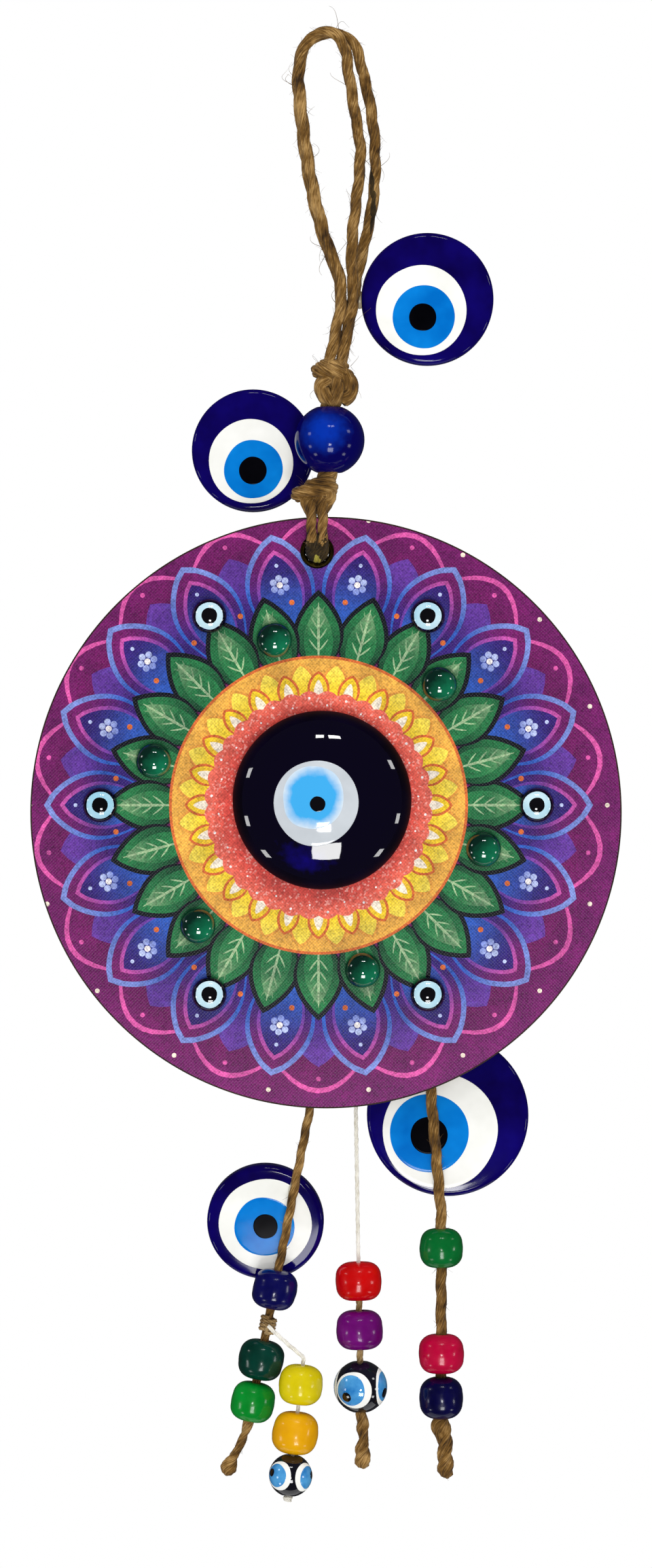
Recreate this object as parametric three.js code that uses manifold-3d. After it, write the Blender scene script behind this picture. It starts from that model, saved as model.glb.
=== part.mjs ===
// Evil-eye wall hanging: a printed wooden disc with glass eyes, hung on a knotted jute loop,
// with four strands of beads below it and four flat glass eyes bonded round it.
// Millimetres. +Z is up, the front faces -Y, and +X is to the right seen from the front.
// The origin is where a hook bears inside the top of the hanging loop.
import * as THREE from "three";
import { mergeVertices } from "three/addons/utils/BufferGeometryUtils.js";
import Module from "manifold-3d";

const wasm = await Module();
wasm.setup();

// Clearances
const GAP = 0.3; // between pieces that touch, or are glued together, on the real object
const BORE_CLEARANCE = 0.35; // round the cord in a bead's bore

// Printed disc
const DISC_DIAMETER = 150;
const DISC_THICKNESS = 3;
const PRINT_OFFSET_X = -1.9; // the print and its stones sit a little off the disc's centre
const PRINT_OFFSET_Z = 1.9;

// Brass eyelet near the disc's top
const EYELET_PLAY = 0.65; // round the pair of cords that pass through it
const EYELET_WALL = 0.5;
const EYELET_FLANGE_DIAMETER = 8.6;
const EYELET_FLANGE_THICKNESS = 0.4;
const EYELET_RIM_DISTANCE = 8.8; // from the disc's rim down to the eyelet's centre
const EYELET_X = -2.25;

// Large glass eye in the middle
const CENTER_EYE_DIAMETER = 45.3;
const CENTER_EYE_HEIGHT = 10.5;
const CENTER_EYE_FOOT = 1.4; // height of its upright edge
const CENTER_EYE_OFFSET_X = -1;
const CENTER_EYE_OFFSET_Z = 3.2;

// Stones set round the print's centre
const STONE_COUNT = 6;
const EYE_STONE_DIAMETER = 8.8;
const EYE_STONE_HEIGHT = 3.2;
const EYE_STONE_RIM_DISTANCE = 19.7; // from the disc's radius in to the circle that they stand on
const EYE_STONE_FIRST_ANGLE = 0;
const GREEN_STONE_DIAMETER = 9;
const GREEN_STONE_HEIGHT = 4;
const GREEN_STONE_RIM_DISTANCE = 31.7;
const GREEN_STONE_FIRST_ANGLE = 45;
const STONE_FOOT = 0.8;

// Hanging cord: two loops of jute, one behind the other
const LOOP_CORD = 3.1;
const LOOP_DROP = 80.8; // from the hook down to the upper knot
const KNOT_SOCKET = 2; // how far a cord runs into a knot

// Knots above and below the top bead; shares of a knot's own size
const KNOT_WRAP = 0.21; // thickness of a wrap of cord
const KNOT_CORE = 0.4; // half width of the core under the wraps
const KNOT_WRAP_RISE = 0.17; // height of the wraps above and below the middle
const KNOT_WRAP_TILT = 11; // degrees
const WRAP_TUBE = 0.44; // tube radius of a wrap against its ring radius, before it is stretched
const UPPER_KNOT_WIDTH = 12;
const UPPER_KNOT_HEIGHT = 11.7;
const UPPER_KNOT_DEPTH = 10.5;
const UPPER_KNOT_X = 2.25;
const LOWER_KNOT_WIDTH = 10.5;
const LOWER_KNOT_HEIGHT = 8.6;
const LOWER_KNOT_DEPTH = 9.6;
const LOWER_KNOT_X = -2.2;

// Blue glass bead between the knots
const TOP_BEAD_DIAMETER = 17.8;
const TOP_BEAD_CORD = 5; // the cords twisted together inside it
const TOP_BEAD_X = 0.9;

// Doubled cord from the lower knot through the eyelet
const LEG_CORD = 2.2;
const LEG_DROP = 10.6; // from the lower knot's foot to the eyelet's centre
const LEG_SPREAD = 4.4; // between the two legs at the knot
const LEG_BULGE = 0.7; // how far the legs have bowed out by the time they leave the knot

// Flat glass eyes: diameter and thickness of each
const NAZAR_TOP_RIGHT = { diameter: 33.6, thickness: 4.6 };
const NAZAR_TOP_LEFT = { diameter: 31.3, thickness: 4.6 };
const NAZAR_LOWER_RIGHT = { diameter: 41.2, thickness: 5 };
const NAZAR_LOWER_LEFT = { diameter: 29.8, thickness: 4.4 };
const NAZAR_FRONT_ROUND = 1.4;
const NAZAR_BACK_ROUND = 0.7;
const NAZAR_TOP_RIGHT_DROP = 65.9; // below the hook
const NAZAR_TOP_LEFT_OVERLAP = 5; // how much of it the top bead hides
const NAZAR_TOP_LEFT_DROP = 2.1; // below the top bead's centre
const NAZAR_LOWER_RIGHT_OVERLAP = 12.4; // how much of it the disc hides
const NAZAR_LOWER_RIGHT_ANGLE = -68.1;
const NAZAR_LOWER_LEFT_DOWN = 29.9; // along the first strand
const NAZAR_LOWER_LEFT_SIDE = 5.6; // to the left of the first strand

// Strands of beads. rimX is where the cord leaves the disc, lean is how far its straight run
// starts from there, and slope is the run's sideways travel for each millimetre down.
const HINGE_DROP = 1.5; // from the disc's rim down to the point where a strand swings
const ROOT_LENGTH = 17; // cord glued to the disc's back
const STRAND_1 = { rimX: -4.3, cord: 2.4, slope: -0.195 };
const STRAND_2 = { cord: 1.1, slope: -0.113, leanZ: -8.2, leanY: -0.55 };
const STRAND_3 = { rimX: 7.6, cord: 1.1, slope: 0.0166 };
const STRAND_4 = { rimX: 26.7, cord: 3, slope: 0, leanX: 2.6, leanZ: -31 };
const BRANCH_SIDE = -2.2; // the second strand's run starts this far from touching the first's beads

// Beads from the top of each strand down; gap is the bare cord above each
const BEAD_1_BLUE = { gap: 40.7, diameter: 11.1, height: 10 };
const BEAD_1_DARK_GREEN = { gap: 8.2, diameter: 11.3, height: 10 };
const BEAD_1_GREEN = { gap: 0.9, diameter: 10.9, height: 10 };
const BEAD_2_YELLOW = { gap: 1.7, diameter: 10.9, height: 10 };
const BEAD_2_ORANGE = { gap: 2, diameter: 11.3, height: 10.6 };
const BEAD_2_EYE = { gap: 0.4, diameter: 10.9, height: 10.2 };
const BEAD_3_RED = { gap: 38.1, diameter: 11.5, height: 9.7 };
const BEAD_3_PURPLE = { gap: 2.6, diameter: 11.6, height: 9.9 };
const BEAD_3_EYE = { gap: 3.1, diameter: 13.4, height: 12.8 };
const BEAD_4_GREEN = { gap: 3.2, diameter: 10.8, height: 9.9 };
const BEAD_4_PINK = { gap: 17, diameter: 11.3, height: 9.9 };
const BEAD_4_NAVY = { gap: 1, diameter: 10.9, height: 10.5 };
const BEADS_1 = [
  { name: "bead_1_blue", ...BEAD_1_BLUE, color: 0x1a1a7a },
  { name: "bead_1_dark_green", ...BEAD_1_DARK_GREEN, color: 0x06492f },
  { name: "bead_1_green", ...BEAD_1_GREEN, color: 0x0f8a2c },
];
const BEADS_2 = [
  { name: "bead_2_yellow", ...BEAD_2_YELLOW, color: 0xd9c916 },
  { name: "bead_2_orange", ...BEAD_2_ORANGE, color: 0xf0a010 },
  { name: "bead_2_eye", ...BEAD_2_EYE, color: 0x0c0c18, ball: true },
];
const BEADS_3 = [
  { name: "bead_3_red", ...BEAD_3_RED, color: 0xd40f12 },
  { name: "bead_3_purple", ...BEAD_3_PURPLE, color: 0x7a0f86 },
  { name: "bead_3_eye", ...BEAD_3_EYE, color: 0x0c0c18, ball: true },
];
const BEADS_4 = [
  { name: "bead_4_green", ...BEAD_4_GREEN, color: 0x0b8038 },
  { name: "bead_4_pink", ...BEAD_4_PINK, color: 0xd8104e },
  { name: "bead_4_navy", ...BEAD_4_NAVY, color: 0x10104f },
];
const BEAD_SHOULDER = 0.36; // corner radius of a barrel bead, as a share of its height
const BALL_BEAD_LIP = 0.4; // flat ring round the bore of the top bead

// Tails below the last beads: radius against distance down, and the lean of the tail
const TAIL_1 = {
  lean: 16,
  shape: [[1.5, 0], [1.9, 1.6], [1.3, 3.6], [1.15, 6.4], [1.9, 9], [2.1, 11], [1.5, 12.8]],
};
const TAIL_2 = { lean: 0, shape: [[0.9, 0], [1.25, 0.7], [0.7, 1.5]] };
const TAIL_3 = {
  lean: -2,
  shape: [[1.5, 0], [2.1, 1.8], [2, 3.6], [1.35, 5.8], [1.9, 8.4], [2.25, 11], [1.7, 13]],
};
const TAIL_4 = {
  lean: -6,
  shape: [[1.9, 0], [2.8, 1.4], [2.8, 3], [2, 4.8], [2, 8], [2.25, 11], [1.7, 13.4]],
};

// Glue dabs on the disc's back
const ROOT_GLUE = { width: 7, height: 12, rise: 1.4 };
const NAZAR_GLUE = 6.4; // diameter of the dab that holds a flat glass eye

// Facets
const CORD_SIDES = 8;
const LOOP_RING = 5.5; // between the rings of facets along a cord
const LEG_RING = 1.5;
const RUN_RING = 8;
const BRANCH_RING = 3.2;
const WELD = 1e-4;

// Colours and finish
const JUTE = { color: 0x8a6a3a, roughness: 0.95 };
const STRING = { color: 0xcdbd8c, roughness: 0.9 };
const COBALT = { color: 0x0b0a5c, roughness: 0.12 };
const GLASS_BLUE = { color: 0x0a1f9c, roughness: 0.08 };
const NIGHT_GLASS = { color: 0x040418, roughness: 0.06 };
const GREEN_GLASS = { color: 0x07402a, roughness: 0.08 };
const PRINTED_WOOD = { color: 0x7d3a86, roughness: 0.6 };
const BRASS = { color: 0x6f5a1c, roughness: 0.35, metalness: 1 };
const GLUE = { color: 0xe6dfc8, roughness: 0.3 };

// Places that follow from the sizes above
const discRadius = DISC_DIAMETER / 2;
const upperKnotZ = -LOOP_DROP - UPPER_KNOT_HEIGHT / 2;
const topBeadZ = -LOOP_DROP - UPPER_KNOT_HEIGHT - GAP - TOP_BEAD_DIAMETER / 2;
const lowerKnotZ = topBeadZ - TOP_BEAD_DIAMETER / 2 - GAP - LOWER_KNOT_HEIGHT / 2;
const lowerKnotFootZ = lowerKnotZ - LOWER_KNOT_HEIGHT / 2;
const eyeletZ = lowerKnotFootZ - LEG_DROP;
const discZ = eyeletZ - Math.sqrt((discRadius - EYELET_RIM_DISTANCE) ** 2 - EYELET_X ** 2);
const discBackY = DISC_THICKNESS / 2;
const discFrontY = -discBackY;
const loopApart = (LOOP_CORD + GAP) / 2; // from the middle of the four gathered cords to each
const legApart = (LEG_CORD + GAP) / 2; // from the eyelet's centre to each leg in it
const eyeletBore = legApart + LEG_CORD / 2 + EYELET_PLAY; // radius
const legRise = Math.sqrt((eyeletBore - GAP - LEG_CORD / 2) ** 2 - legApart ** 2); // legs bear high in it

// Routes of the two hanging loops, seen from the front, between their ends in the upper knot
const LOOP_FRONT_ROUTE = [
  [2.3, -74], [3.6, -66], [2.9, -59], [0.9, -53.4], [-2.1, -43], [-4.2, -32.6], [-5.9, -20.4],
  [-6.8, -9.5], [-5.9, -3.6], [-3.2, 0.5], [0, LOOP_CORD / 2], [3, 0.5], [4.9, -3.2], [5.6, -8],
  [7.3, -18.7], [8.7, -28.2], [7.9, -39.5], [6.8, -49], [6.6, -58], [7.1, -66], [5.7, -74],
];
const LOOP_BACK_ROUTE = [
  [2.1, -74], [3.3, -66], [2.5, -59], [0.4, -53.4], [-2.7, -43], [-4.8, -32.6], [-6.4, -20.4],
  [-7.2, -9.5], [-6.3, -3.4], [-3.6, 0.3], [0.4, LOOP_CORD / 2], [4.8, 0.9], [7.8, -2.4], [9.3, -8],
  [11.3, -17], [12.5, -28.2], [12.1, -39.5], [10.4, -49], [8.4, -58.5], [7.1, -66], [5.6, -74],
];

// Closed geometry to solid, and back
function solidOf(geometry) {
  const bare = geometry.index ? geometry.toNonIndexed() : geometry.clone();
  bare.deleteAttribute("normal");
  bare.deleteAttribute("uv");
  const merged = mergeVertices(bare, WELD);
  const vertProperties = merged.attributes.position.array;
  const triVerts = new Uint32Array(merged.index.array);
  return new wasm.Manifold(new wasm.Mesh({ numProp: 3, vertProperties, triVerts }));
}

function geometryOf(solid) {
  const { vertProperties, triVerts } = solid.getMesh();
  const geometry = new THREE.BufferGeometry();
  geometry.setAttribute("position", new THREE.BufferAttribute(vertProperties, 3));
  geometry.setIndex(new THREE.BufferAttribute(triVerts, 1));
  return geometry;
}

function join(...geometries) {
  return geometryOf(geometries.map(solidOf).reduce((whole, piece) => whole.add(piece)));
}

function cut(geometry, ...cutters) {
  return geometryOf(cutters.map(solidOf).reduce((left, cutter) => left.subtract(cutter), solidOf(geometry)));
}

// Shared shapes
function circle(radius, sides) {
  const at = (i) => (2 * Math.PI * i) / sides;
  const points = Array.from({ length: sides }, (_, i) => new THREE.Vector2(Math.cos(at(i)), Math.sin(at(i))));
  return new THREE.Shape(points.map((p) => p.multiplyScalar(radius)));
}

// A cord of round section along a smooth route of points
function cordAlong(route, diameter, ring) {
  const path = new THREE.CatmullRomCurve3(route, false, "centripetal");
  const steps = Math.max(1, Math.ceil(path.getLength() / ring));
  const section = circle(diameter / 2, CORD_SIDES);
  return new THREE.ExtrudeGeometry(section, { steps, extrudePath: path, bevelEnabled: false });
}

// A solid of revolution about Y from [radius, y] pairs that run from the low end to the high end
function turned(profile, segments) {
  return new THREE.LatheGeometry(profile.map(([r, y]) => new THREE.Vector2(r, y)), segments);
}

// The same about Z
function turnedUpright(profile, segments) {
  return turned(profile, segments).rotateX(Math.PI / 2);
}

function ellipsoid(rx, ry, rz, columns = 12, rows = 7) {
  return new THREE.SphereGeometry(1, columns, rows).scale(rx, ry, rz);
}

// Points of a quarter round between two directions, as [radius, y] pairs
function quarterRound(centerR, centerY, radius, fromDegrees, toDegrees, steps) {
  return Array.from({ length: steps + 1 }, (_, i) => {
    const angle = THREE.MathUtils.degToRad(fromDegrees + ((toDegrees - fromDegrees) * i) / steps);
    return [centerR + radius * Math.cos(angle), centerY + radius * Math.sin(angle)];
  });
}

function piece(name, geometry, { color, roughness, metalness = 0 }) {
  const mesh = new THREE.Mesh(geometry, new THREE.MeshStandardMaterial({ color, roughness, metalness }));
  mesh.name = name;
  return mesh;
}

function placed(object, x, y, z) {
  object.position.set(x, y, z);
  return object;
}

// A knot: two slanting wraps of cord round a packed core
function knotShape(width, height, depth) {
  const wrap = Math.min(width, height, depth) * KNOT_WRAP;
  const wrapAt = (side) =>
    new THREE.TorusGeometry(1, WRAP_TUBE, 7, 14)
      .scale(width / 2 / (1 + WRAP_TUBE), depth / 2 / (1 + WRAP_TUBE), wrap / WRAP_TUBE)
      .rotateY(THREE.MathUtils.degToRad(side * KNOT_WRAP_TILT))
      .translate(0, 0, side * height * KNOT_WRAP_RISE);
  const core = ellipsoid(width * KNOT_CORE, depth * KNOT_CORE, height / 2);
  return join(core, wrapAt(1), wrapAt(-1));
}

// A dome of glass with an upright foot and a flat back that faces +Y
function glassDome(diameter, height, foot, segments, rows) {
  const radius = diameter / 2;
  const crown = Array.from({ length: rows + 1 }, (_, i) => {
    const angle = (Math.PI / 2) * (1 - i / rows);
    return [radius * Math.cos(angle), -foot - (height - foot) * Math.sin(angle)];
  });
  crown[0][0] = 0;
  return turned([...crown, [radius, 0], [0, 0]], segments);
}

// A flat glass eye: its front face lies at y = 0 and its back at y = thickness
function flatEye({ diameter, thickness }) {
  const radius = diameter / 2;
  const frontRound = NAZAR_FRONT_ROUND;
  const backRound = NAZAR_BACK_ROUND;
  const front = quarterRound(radius - frontRound, frontRound, frontRound, -90, 0, 2);
  const back = quarterRound(radius - backRound, thickness - backRound, backRound, 0, 90, 1);
  return turned([[0, 0], ...front, ...back, [0, thickness]], 30);
}

// A flat glass eye made larger all round, to cut the glue that it sits in
function flatEyeSeat({ diameter, thickness }) {
  return flatEye({ diameter: diameter + 2 * GAP, thickness: thickness + 2 * GAP }).translate(0, -GAP, 0);
}

// A bead with an upright bore and its middle at the origin
function beadShape({ diameter, height, ball }, boreDiameter) {
  const radius = diameter / 2;
  const bore = boreDiameter / 2;
  const half = height / 2;
  const shoulder = height * BEAD_SHOULDER;
  const outside = ball
    ? ballProfile(radius, half)
    : [
        ...quarterRound(radius - shoulder, shoulder - half, shoulder, -90, 0, 2),
        ...quarterRound(radius - shoulder, half - shoulder, shoulder, 0, 90, 2),
      ];
  return turnedUpright([[bore, -half], ...outside, [bore, half], [bore, -half]], 16);
}

// Outside of a ball cut flat at both ends
function ballProfile(radius, half) {
  const end = Math.asin(half / radius);
  const rows = 6;
  return Array.from({ length: rows + 1 }, (_, i) => {
    const angle = -end + (2 * end * i) / rows;
    return [radius * Math.cos(angle), radius * Math.sin(angle)];
  });
}

// Hanging loops, upper knot and the flat eye beside them
function loopRoute(route, y, leftX, rightX) {
  const endZ = -LOOP_DROP - KNOT_SOCKET;
  return [[leftX, endZ], ...route, [rightX, endZ]].map(([x, z]) => new THREE.Vector3(x, y, z));
}

const loopFront = loopRoute(LOOP_FRONT_ROUTE, -loopApart, UPPER_KNOT_X - loopApart, UPPER_KNOT_X + loopApart);
const loopBack = loopRoute(LOOP_BACK_ROUTE, loopApart, UPPER_KNOT_X - loopApart, UPPER_KNOT_X + loopApart);

function topBeadCord(fromZ, toZ) {
  return turnedUpright([[0, fromZ], [TOP_BEAD_CORD / 2, fromZ], [TOP_BEAD_CORD / 2, toZ], [0, toZ]], 12)
    .translate(TOP_BEAD_X, 0, 0);
}

function hangingLoop() {
  const group = new THREE.Group();
  const seats = [loopFront, loopBack].map((route) => cordAlong(route, LOOP_CORD + 2 * GAP, LOOP_RING));
  const knot = knotShape(UPPER_KNOT_WIDTH, UPPER_KNOT_HEIGHT, UPPER_KNOT_DEPTH)
    .translate(UPPER_KNOT_X, 0, upperKnotZ);
  const knotted = join(cut(knot, ...seats), topBeadCord(topBeadZ + GAP / 2, upperKnotZ));
  group.add(
    piece("hanging_loop_front", cordAlong(loopFront, LOOP_CORD, LOOP_RING), JUTE),
    piece("hanging_loop_back", cordAlong(loopBack, LOOP_CORD, LOOP_RING), JUTE),
    piece("upper_knot", knotted, JUTE),
  );
  const bundleRight = Math.max(...LOOP_BACK_ROUTE.filter(([, z]) => z < -60).map(([x]) => x)) + LOOP_CORD / 2;
  const { diameter, thickness } = NAZAR_TOP_RIGHT;
  const eyeX = bundleRight + GAP + diameter / 2;
  const eyeY = loopApart - thickness / 2;
  const eyeSeat = flatEyeSeat(NAZAR_TOP_RIGHT).translate(eyeX, eyeY, -NAZAR_TOP_RIGHT_DROP);
  const dab = ellipsoid(NAZAR_GLUE / 2, NAZAR_GLUE / 3, NAZAR_GLUE / 2)
    .translate(bundleRight, eyeY + thickness, -NAZAR_TOP_RIGHT_DROP);
  group.add(
    placed(piece("nazar_top_right", flatEye(NAZAR_TOP_RIGHT), COBALT), eyeX, eyeY, -NAZAR_TOP_RIGHT_DROP),
    piece("glue_top_right", cut(dab, eyeSeat, ...seats), GLUE),
  );
  return group;
}

// Blue bead that turns on the cords between the knots
function topBead() {
  const radius = TOP_BEAD_DIAMETER / 2;
  const bore = TOP_BEAD_CORD / 2 + BORE_CLEARANCE;
  const half = Math.sqrt(radius ** 2 - (bore + BALL_BEAD_LIP) ** 2);
  const profile = [[bore, -half], ...ballProfile(radius, half), [bore, half], [bore, -half]];
  return placed(piece("top_bead", turnedUpright(profile, 20), GLASS_BLUE), TOP_BEAD_X, 0, topBeadZ);
}

// One leg of the doubled cord: down the disc's front, round the eyelet's lip and up its back
function legRoute(side) {
  const lipY = discBackY + GAP + EYELET_FLANGE_THICKNESS;
  const lipZ = eyeletZ + eyeletBore;
  const bend = lipZ - eyeletZ - legRise;
  const round = bend * Math.SQRT1_2;
  const knotX = LOWER_KNOT_X + (side * LEG_SPREAD) / 2;
  const holeX = EYELET_X + side * legApart;
  const half = (sign) => [
    [knotX, sign * lipY, lowerKnotFootZ + KNOT_SOCKET],
    [knotX, sign * (lipY + bend * LEG_BULGE), lowerKnotFootZ],
    [holeX, sign * (lipY + bend), lipZ + LEG_CORD],
    [holeX, sign * (lipY + bend), lipZ],
    [holeX, sign * (lipY + round), lipZ - round],
    [holeX, sign * lipY, lipZ - bend],
  ];
  return [...half(-1), [holeX, 0, lipZ - bend], ...half(1).reverse()].map((p) => new THREE.Vector3(...p));
}

// Lower knot with its legs, and the flat eye bonded behind the bead
function hanger() {
  const group = new THREE.Group();
  const legs = [-1, 1].map(legRoute);
  const seats = legs.map((route) => cordAlong(route, LEG_CORD + 2 * GAP, LEG_RING));
  const knot = knotShape(LOWER_KNOT_WIDTH, LOWER_KNOT_HEIGHT, LOWER_KNOT_DEPTH)
    .translate(LOWER_KNOT_X, 0, lowerKnotZ);
  const knotted = cut(join(knot, topBeadCord(lowerKnotZ, topBeadZ - GAP / 2)), ...seats);
  group.add(
    piece("lower_knot", knotted, JUTE),
    piece("disc_loop_left", cordAlong(legs[0], LEG_CORD, LEG_RING), JUTE),
    piece("disc_loop_right", cordAlong(legs[1], LEG_CORD, LEG_RING), JUTE),
  );
  const beadRadius = TOP_BEAD_DIAMETER / 2;
  const eyeRadius = NAZAR_TOP_LEFT.diameter / 2;
  const hiddenFrom = beadRadius - NAZAR_TOP_LEFT_OVERLAP;
  const eyeX = TOP_BEAD_X - hiddenFrom - eyeRadius;
  const eyeY = Math.sqrt(beadRadius ** 2 - hiddenFrom ** 2) + GAP;
  const eyeZ = topBeadZ - NAZAR_TOP_LEFT_DROP;
  const eyeSeat = flatEyeSeat(NAZAR_TOP_LEFT).translate(eyeX, eyeY, eyeZ);
  const room = 2 * GAP;
  const knotSeat = knotShape(LOWER_KNOT_WIDTH + room, LOWER_KNOT_HEIGHT + room, LOWER_KNOT_DEPTH + room)
    .translate(LOWER_KNOT_X, 0, lowerKnotZ);
  const beadSeat = ellipsoid(beadRadius + GAP, beadRadius + GAP, beadRadius + GAP, 24, 16)
    .translate(TOP_BEAD_X, 0, topBeadZ);
  const dabX = LOWER_KNOT_X - LOWER_KNOT_WIDTH / 2 + NAZAR_GLUE / 8;
  const dabY = (LOWER_KNOT_DEPTH / 2 + eyeY) / 2;
  const dab = ellipsoid(NAZAR_GLUE / 2, eyeY - dabY + NAZAR_GLUE / 4, NAZAR_GLUE / 2)
    .translate(dabX, dabY, lowerKnotZ + LOWER_KNOT_HEIGHT / 4);
  group.add(
    placed(piece("nazar_top_left", flatEye(NAZAR_TOP_LEFT), COBALT), eyeX, eyeY, eyeZ),
    piece("glue_top_left", cut(dab, eyeSeat, knotSeat, beadSeat), GLUE),
  );
  return group;
}

// Disc with its eyelet, stones and the flat eye bonded to its back
function discShape() {
  const outline = circle(discRadius, 96);
  const holeAt = new THREE.Vector2(EYELET_X, eyeletZ - discZ);
  const hole = circle(eyeletBore + EYELET_WALL + GAP, 20).getPoints();
  outline.holes.push(new THREE.Path(hole.map((p) => p.add(holeAt))));
  return new THREE.ExtrudeGeometry(outline, { depth: DISC_THICKNESS, bevelEnabled: false })
    .rotateX(Math.PI / 2)
    .translate(0, discBackY, discZ);
}

function eyeletShape() {
  const bore = eyeletBore;
  const barrel = bore + EYELET_WALL;
  const flange = EYELET_FLANGE_DIAMETER / 2;
  const seat = discBackY + GAP;
  const lip = seat + EYELET_FLANGE_THICKNESS;
  const profile = [
    [bore, -lip], [flange, -lip], [flange, -seat], [barrel, -seat],
    [barrel, seat], [flange, seat], [flange, lip], [bore, lip], [bore, -lip],
  ];
  return turned(profile, 20).translate(EYELET_X, 0, eyeletZ);
}

// Stones evenly round the print's centre, each standing on the disc's front
function stones(name, geometry, rimDistance, firstAngle, finish) {
  const radius = discRadius - rimDistance;
  return Array.from({ length: STONE_COUNT }, (_, i) => {
    const angle = THREE.MathUtils.degToRad(firstAngle + (360 * i) / STONE_COUNT);
    const x = PRINT_OFFSET_X + radius * Math.cos(angle);
    const z = discZ + PRINT_OFFSET_Z + radius * Math.sin(angle);
    return placed(piece(`${name}_${i + 1}`, geometry, finish), x, discFrontY - GAP, z);
  });
}

// A slope of the strand's run as an angle about Y
function runAngle({ slope }) {
  return -Math.atan(slope);
}

// Where a strand swings: just below the disc's rim, close behind the disc
function strandHinge({ rimX, cord }) {
  const rimZ = discZ - Math.sqrt(discRadius ** 2 - rimX ** 2);
  return new THREE.Vector3(rimX, discBackY + GAP + cord / 2, rimZ - HINGE_DROP);
}

// The end of a strand's cord that is glued to the disc's back, and its glue
function strandRoot(number, strand, length, finish) {
  const hinge = strandHinge(strand);
  const group = placed(new THREE.Group(), hinge.x, hinge.y, hinge.z);
  const angle = strand.leanX ? Math.atan2(-strand.leanX, -strand.leanZ) : runAngle(strand);
  group.rotation.y = angle;
  const startZ = strand.cord / 2 + GAP;
  const route = [new THREE.Vector3(0, 0, startZ), new THREE.Vector3(0, 0, startZ + length)];
  const seat = cordAlong(route, strand.cord + 2 * GAP, length);
  const { width, height, rise } = ROOT_GLUE;
  const room = new THREE.BoxGeometry(2 * width, 2 * width, 2 * height)
    .translate(0, -width - strand.cord / 2, startZ + length);
  const dab = ellipsoid(width / 2, strand.cord / 2 + rise, height / 2).translate(0, 0, startZ + length);
  group.add(
    piece(`strand_root_${number}`, cordAlong(route, strand.cord, length), finish),
    piece(`strand_glue_${number}`, cut(dab, seat, room), GLUE),
  );
  return group;
}

function printedDisc() {
  const group = new THREE.Group();
  const centerEye = glassDome(CENTER_EYE_DIAMETER, CENTER_EYE_HEIGHT, CENTER_EYE_FOOT, 40, 5);
  const eyeStone = glassDome(EYE_STONE_DIAMETER, EYE_STONE_HEIGHT, STONE_FOOT, 14, 3);
  const centerEyeZ = discZ + CENTER_EYE_OFFSET_Z;
  const greenStone = glassDome(GREEN_STONE_DIAMETER, GREEN_STONE_HEIGHT, STONE_FOOT, 14, 3);
  group.add(
    piece("mandala_disc", discShape(), PRINTED_WOOD),
    piece("eyelet", eyeletShape(), BRASS),
    placed(piece("center_eye", centerEye, NIGHT_GLASS), CENTER_EYE_OFFSET_X, discFrontY - GAP, centerEyeZ),
    ...stones("eye_stone", eyeStone, EYE_STONE_RIM_DISTANCE, EYE_STONE_FIRST_ANGLE, NIGHT_GLASS),
    ...stones("green_stone", greenStone, GREEN_STONE_RIM_DISTANCE, GREEN_STONE_FIRST_ANGLE, GREEN_GLASS),
  );
  const { diameter } = NAZAR_LOWER_RIGHT;
  const angle = THREE.MathUtils.degToRad(NAZAR_LOWER_RIGHT_ANGLE);
  const reach = discRadius + diameter / 2 - NAZAR_LOWER_RIGHT_OVERLAP;
  const eyeX = reach * Math.cos(angle);
  const eyeZ = discZ + reach * Math.sin(angle);
  const eyeY = discBackY + GAP + STRAND_4.cord + GAP;
  const dabY = (discBackY + eyeY) / 2;
  const dabAngle = angle + NAZAR_GLUE / discRadius;
  const dabReach = discRadius - NAZAR_GLUE * 0.7;
  const dab = ellipsoid(NAZAR_GLUE / 2, (eyeY - discBackY) / 2 - GAP, NAZAR_GLUE / 2)
    .translate(dabReach * Math.cos(dabAngle), dabY, discZ + dabReach * Math.sin(dabAngle));
  group.add(
    placed(piece("nazar_lower_right", flatEye(NAZAR_LOWER_RIGHT), COBALT), eyeX, eyeY, eyeZ),
    piece("glue_lower_right", dab, GLUE),
    strandRoot(1, STRAND_1, ROOT_LENGTH, JUTE),
    strandRoot(3, STRAND_3, ROOT_LENGTH, STRING),
    strandRoot(4, STRAND_4, ROOT_LENGTH + NAZAR_LOWER_RIGHT_OVERLAP / 2, JUTE),
  );
  return group;
}

// The frame of a strand's straight run: its own Z points back up the run
function runFrame(strand) {
  const run = placed(new THREE.Group(), strand.leanX ?? 0, strand.leanY ?? 0, strand.leanZ ?? 0);
  run.rotation.y = runAngle(strand);
  return run;
}

// Distance down the run to each bead's middle, and to the foot of the last bead
function beadPlaces(beads) {
  let foot = 0;
  const middles = beads.map(({ gap, height }) => {
    foot += gap + height;
    return foot - height / 2;
  });
  return { middles, foot };
}

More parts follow.
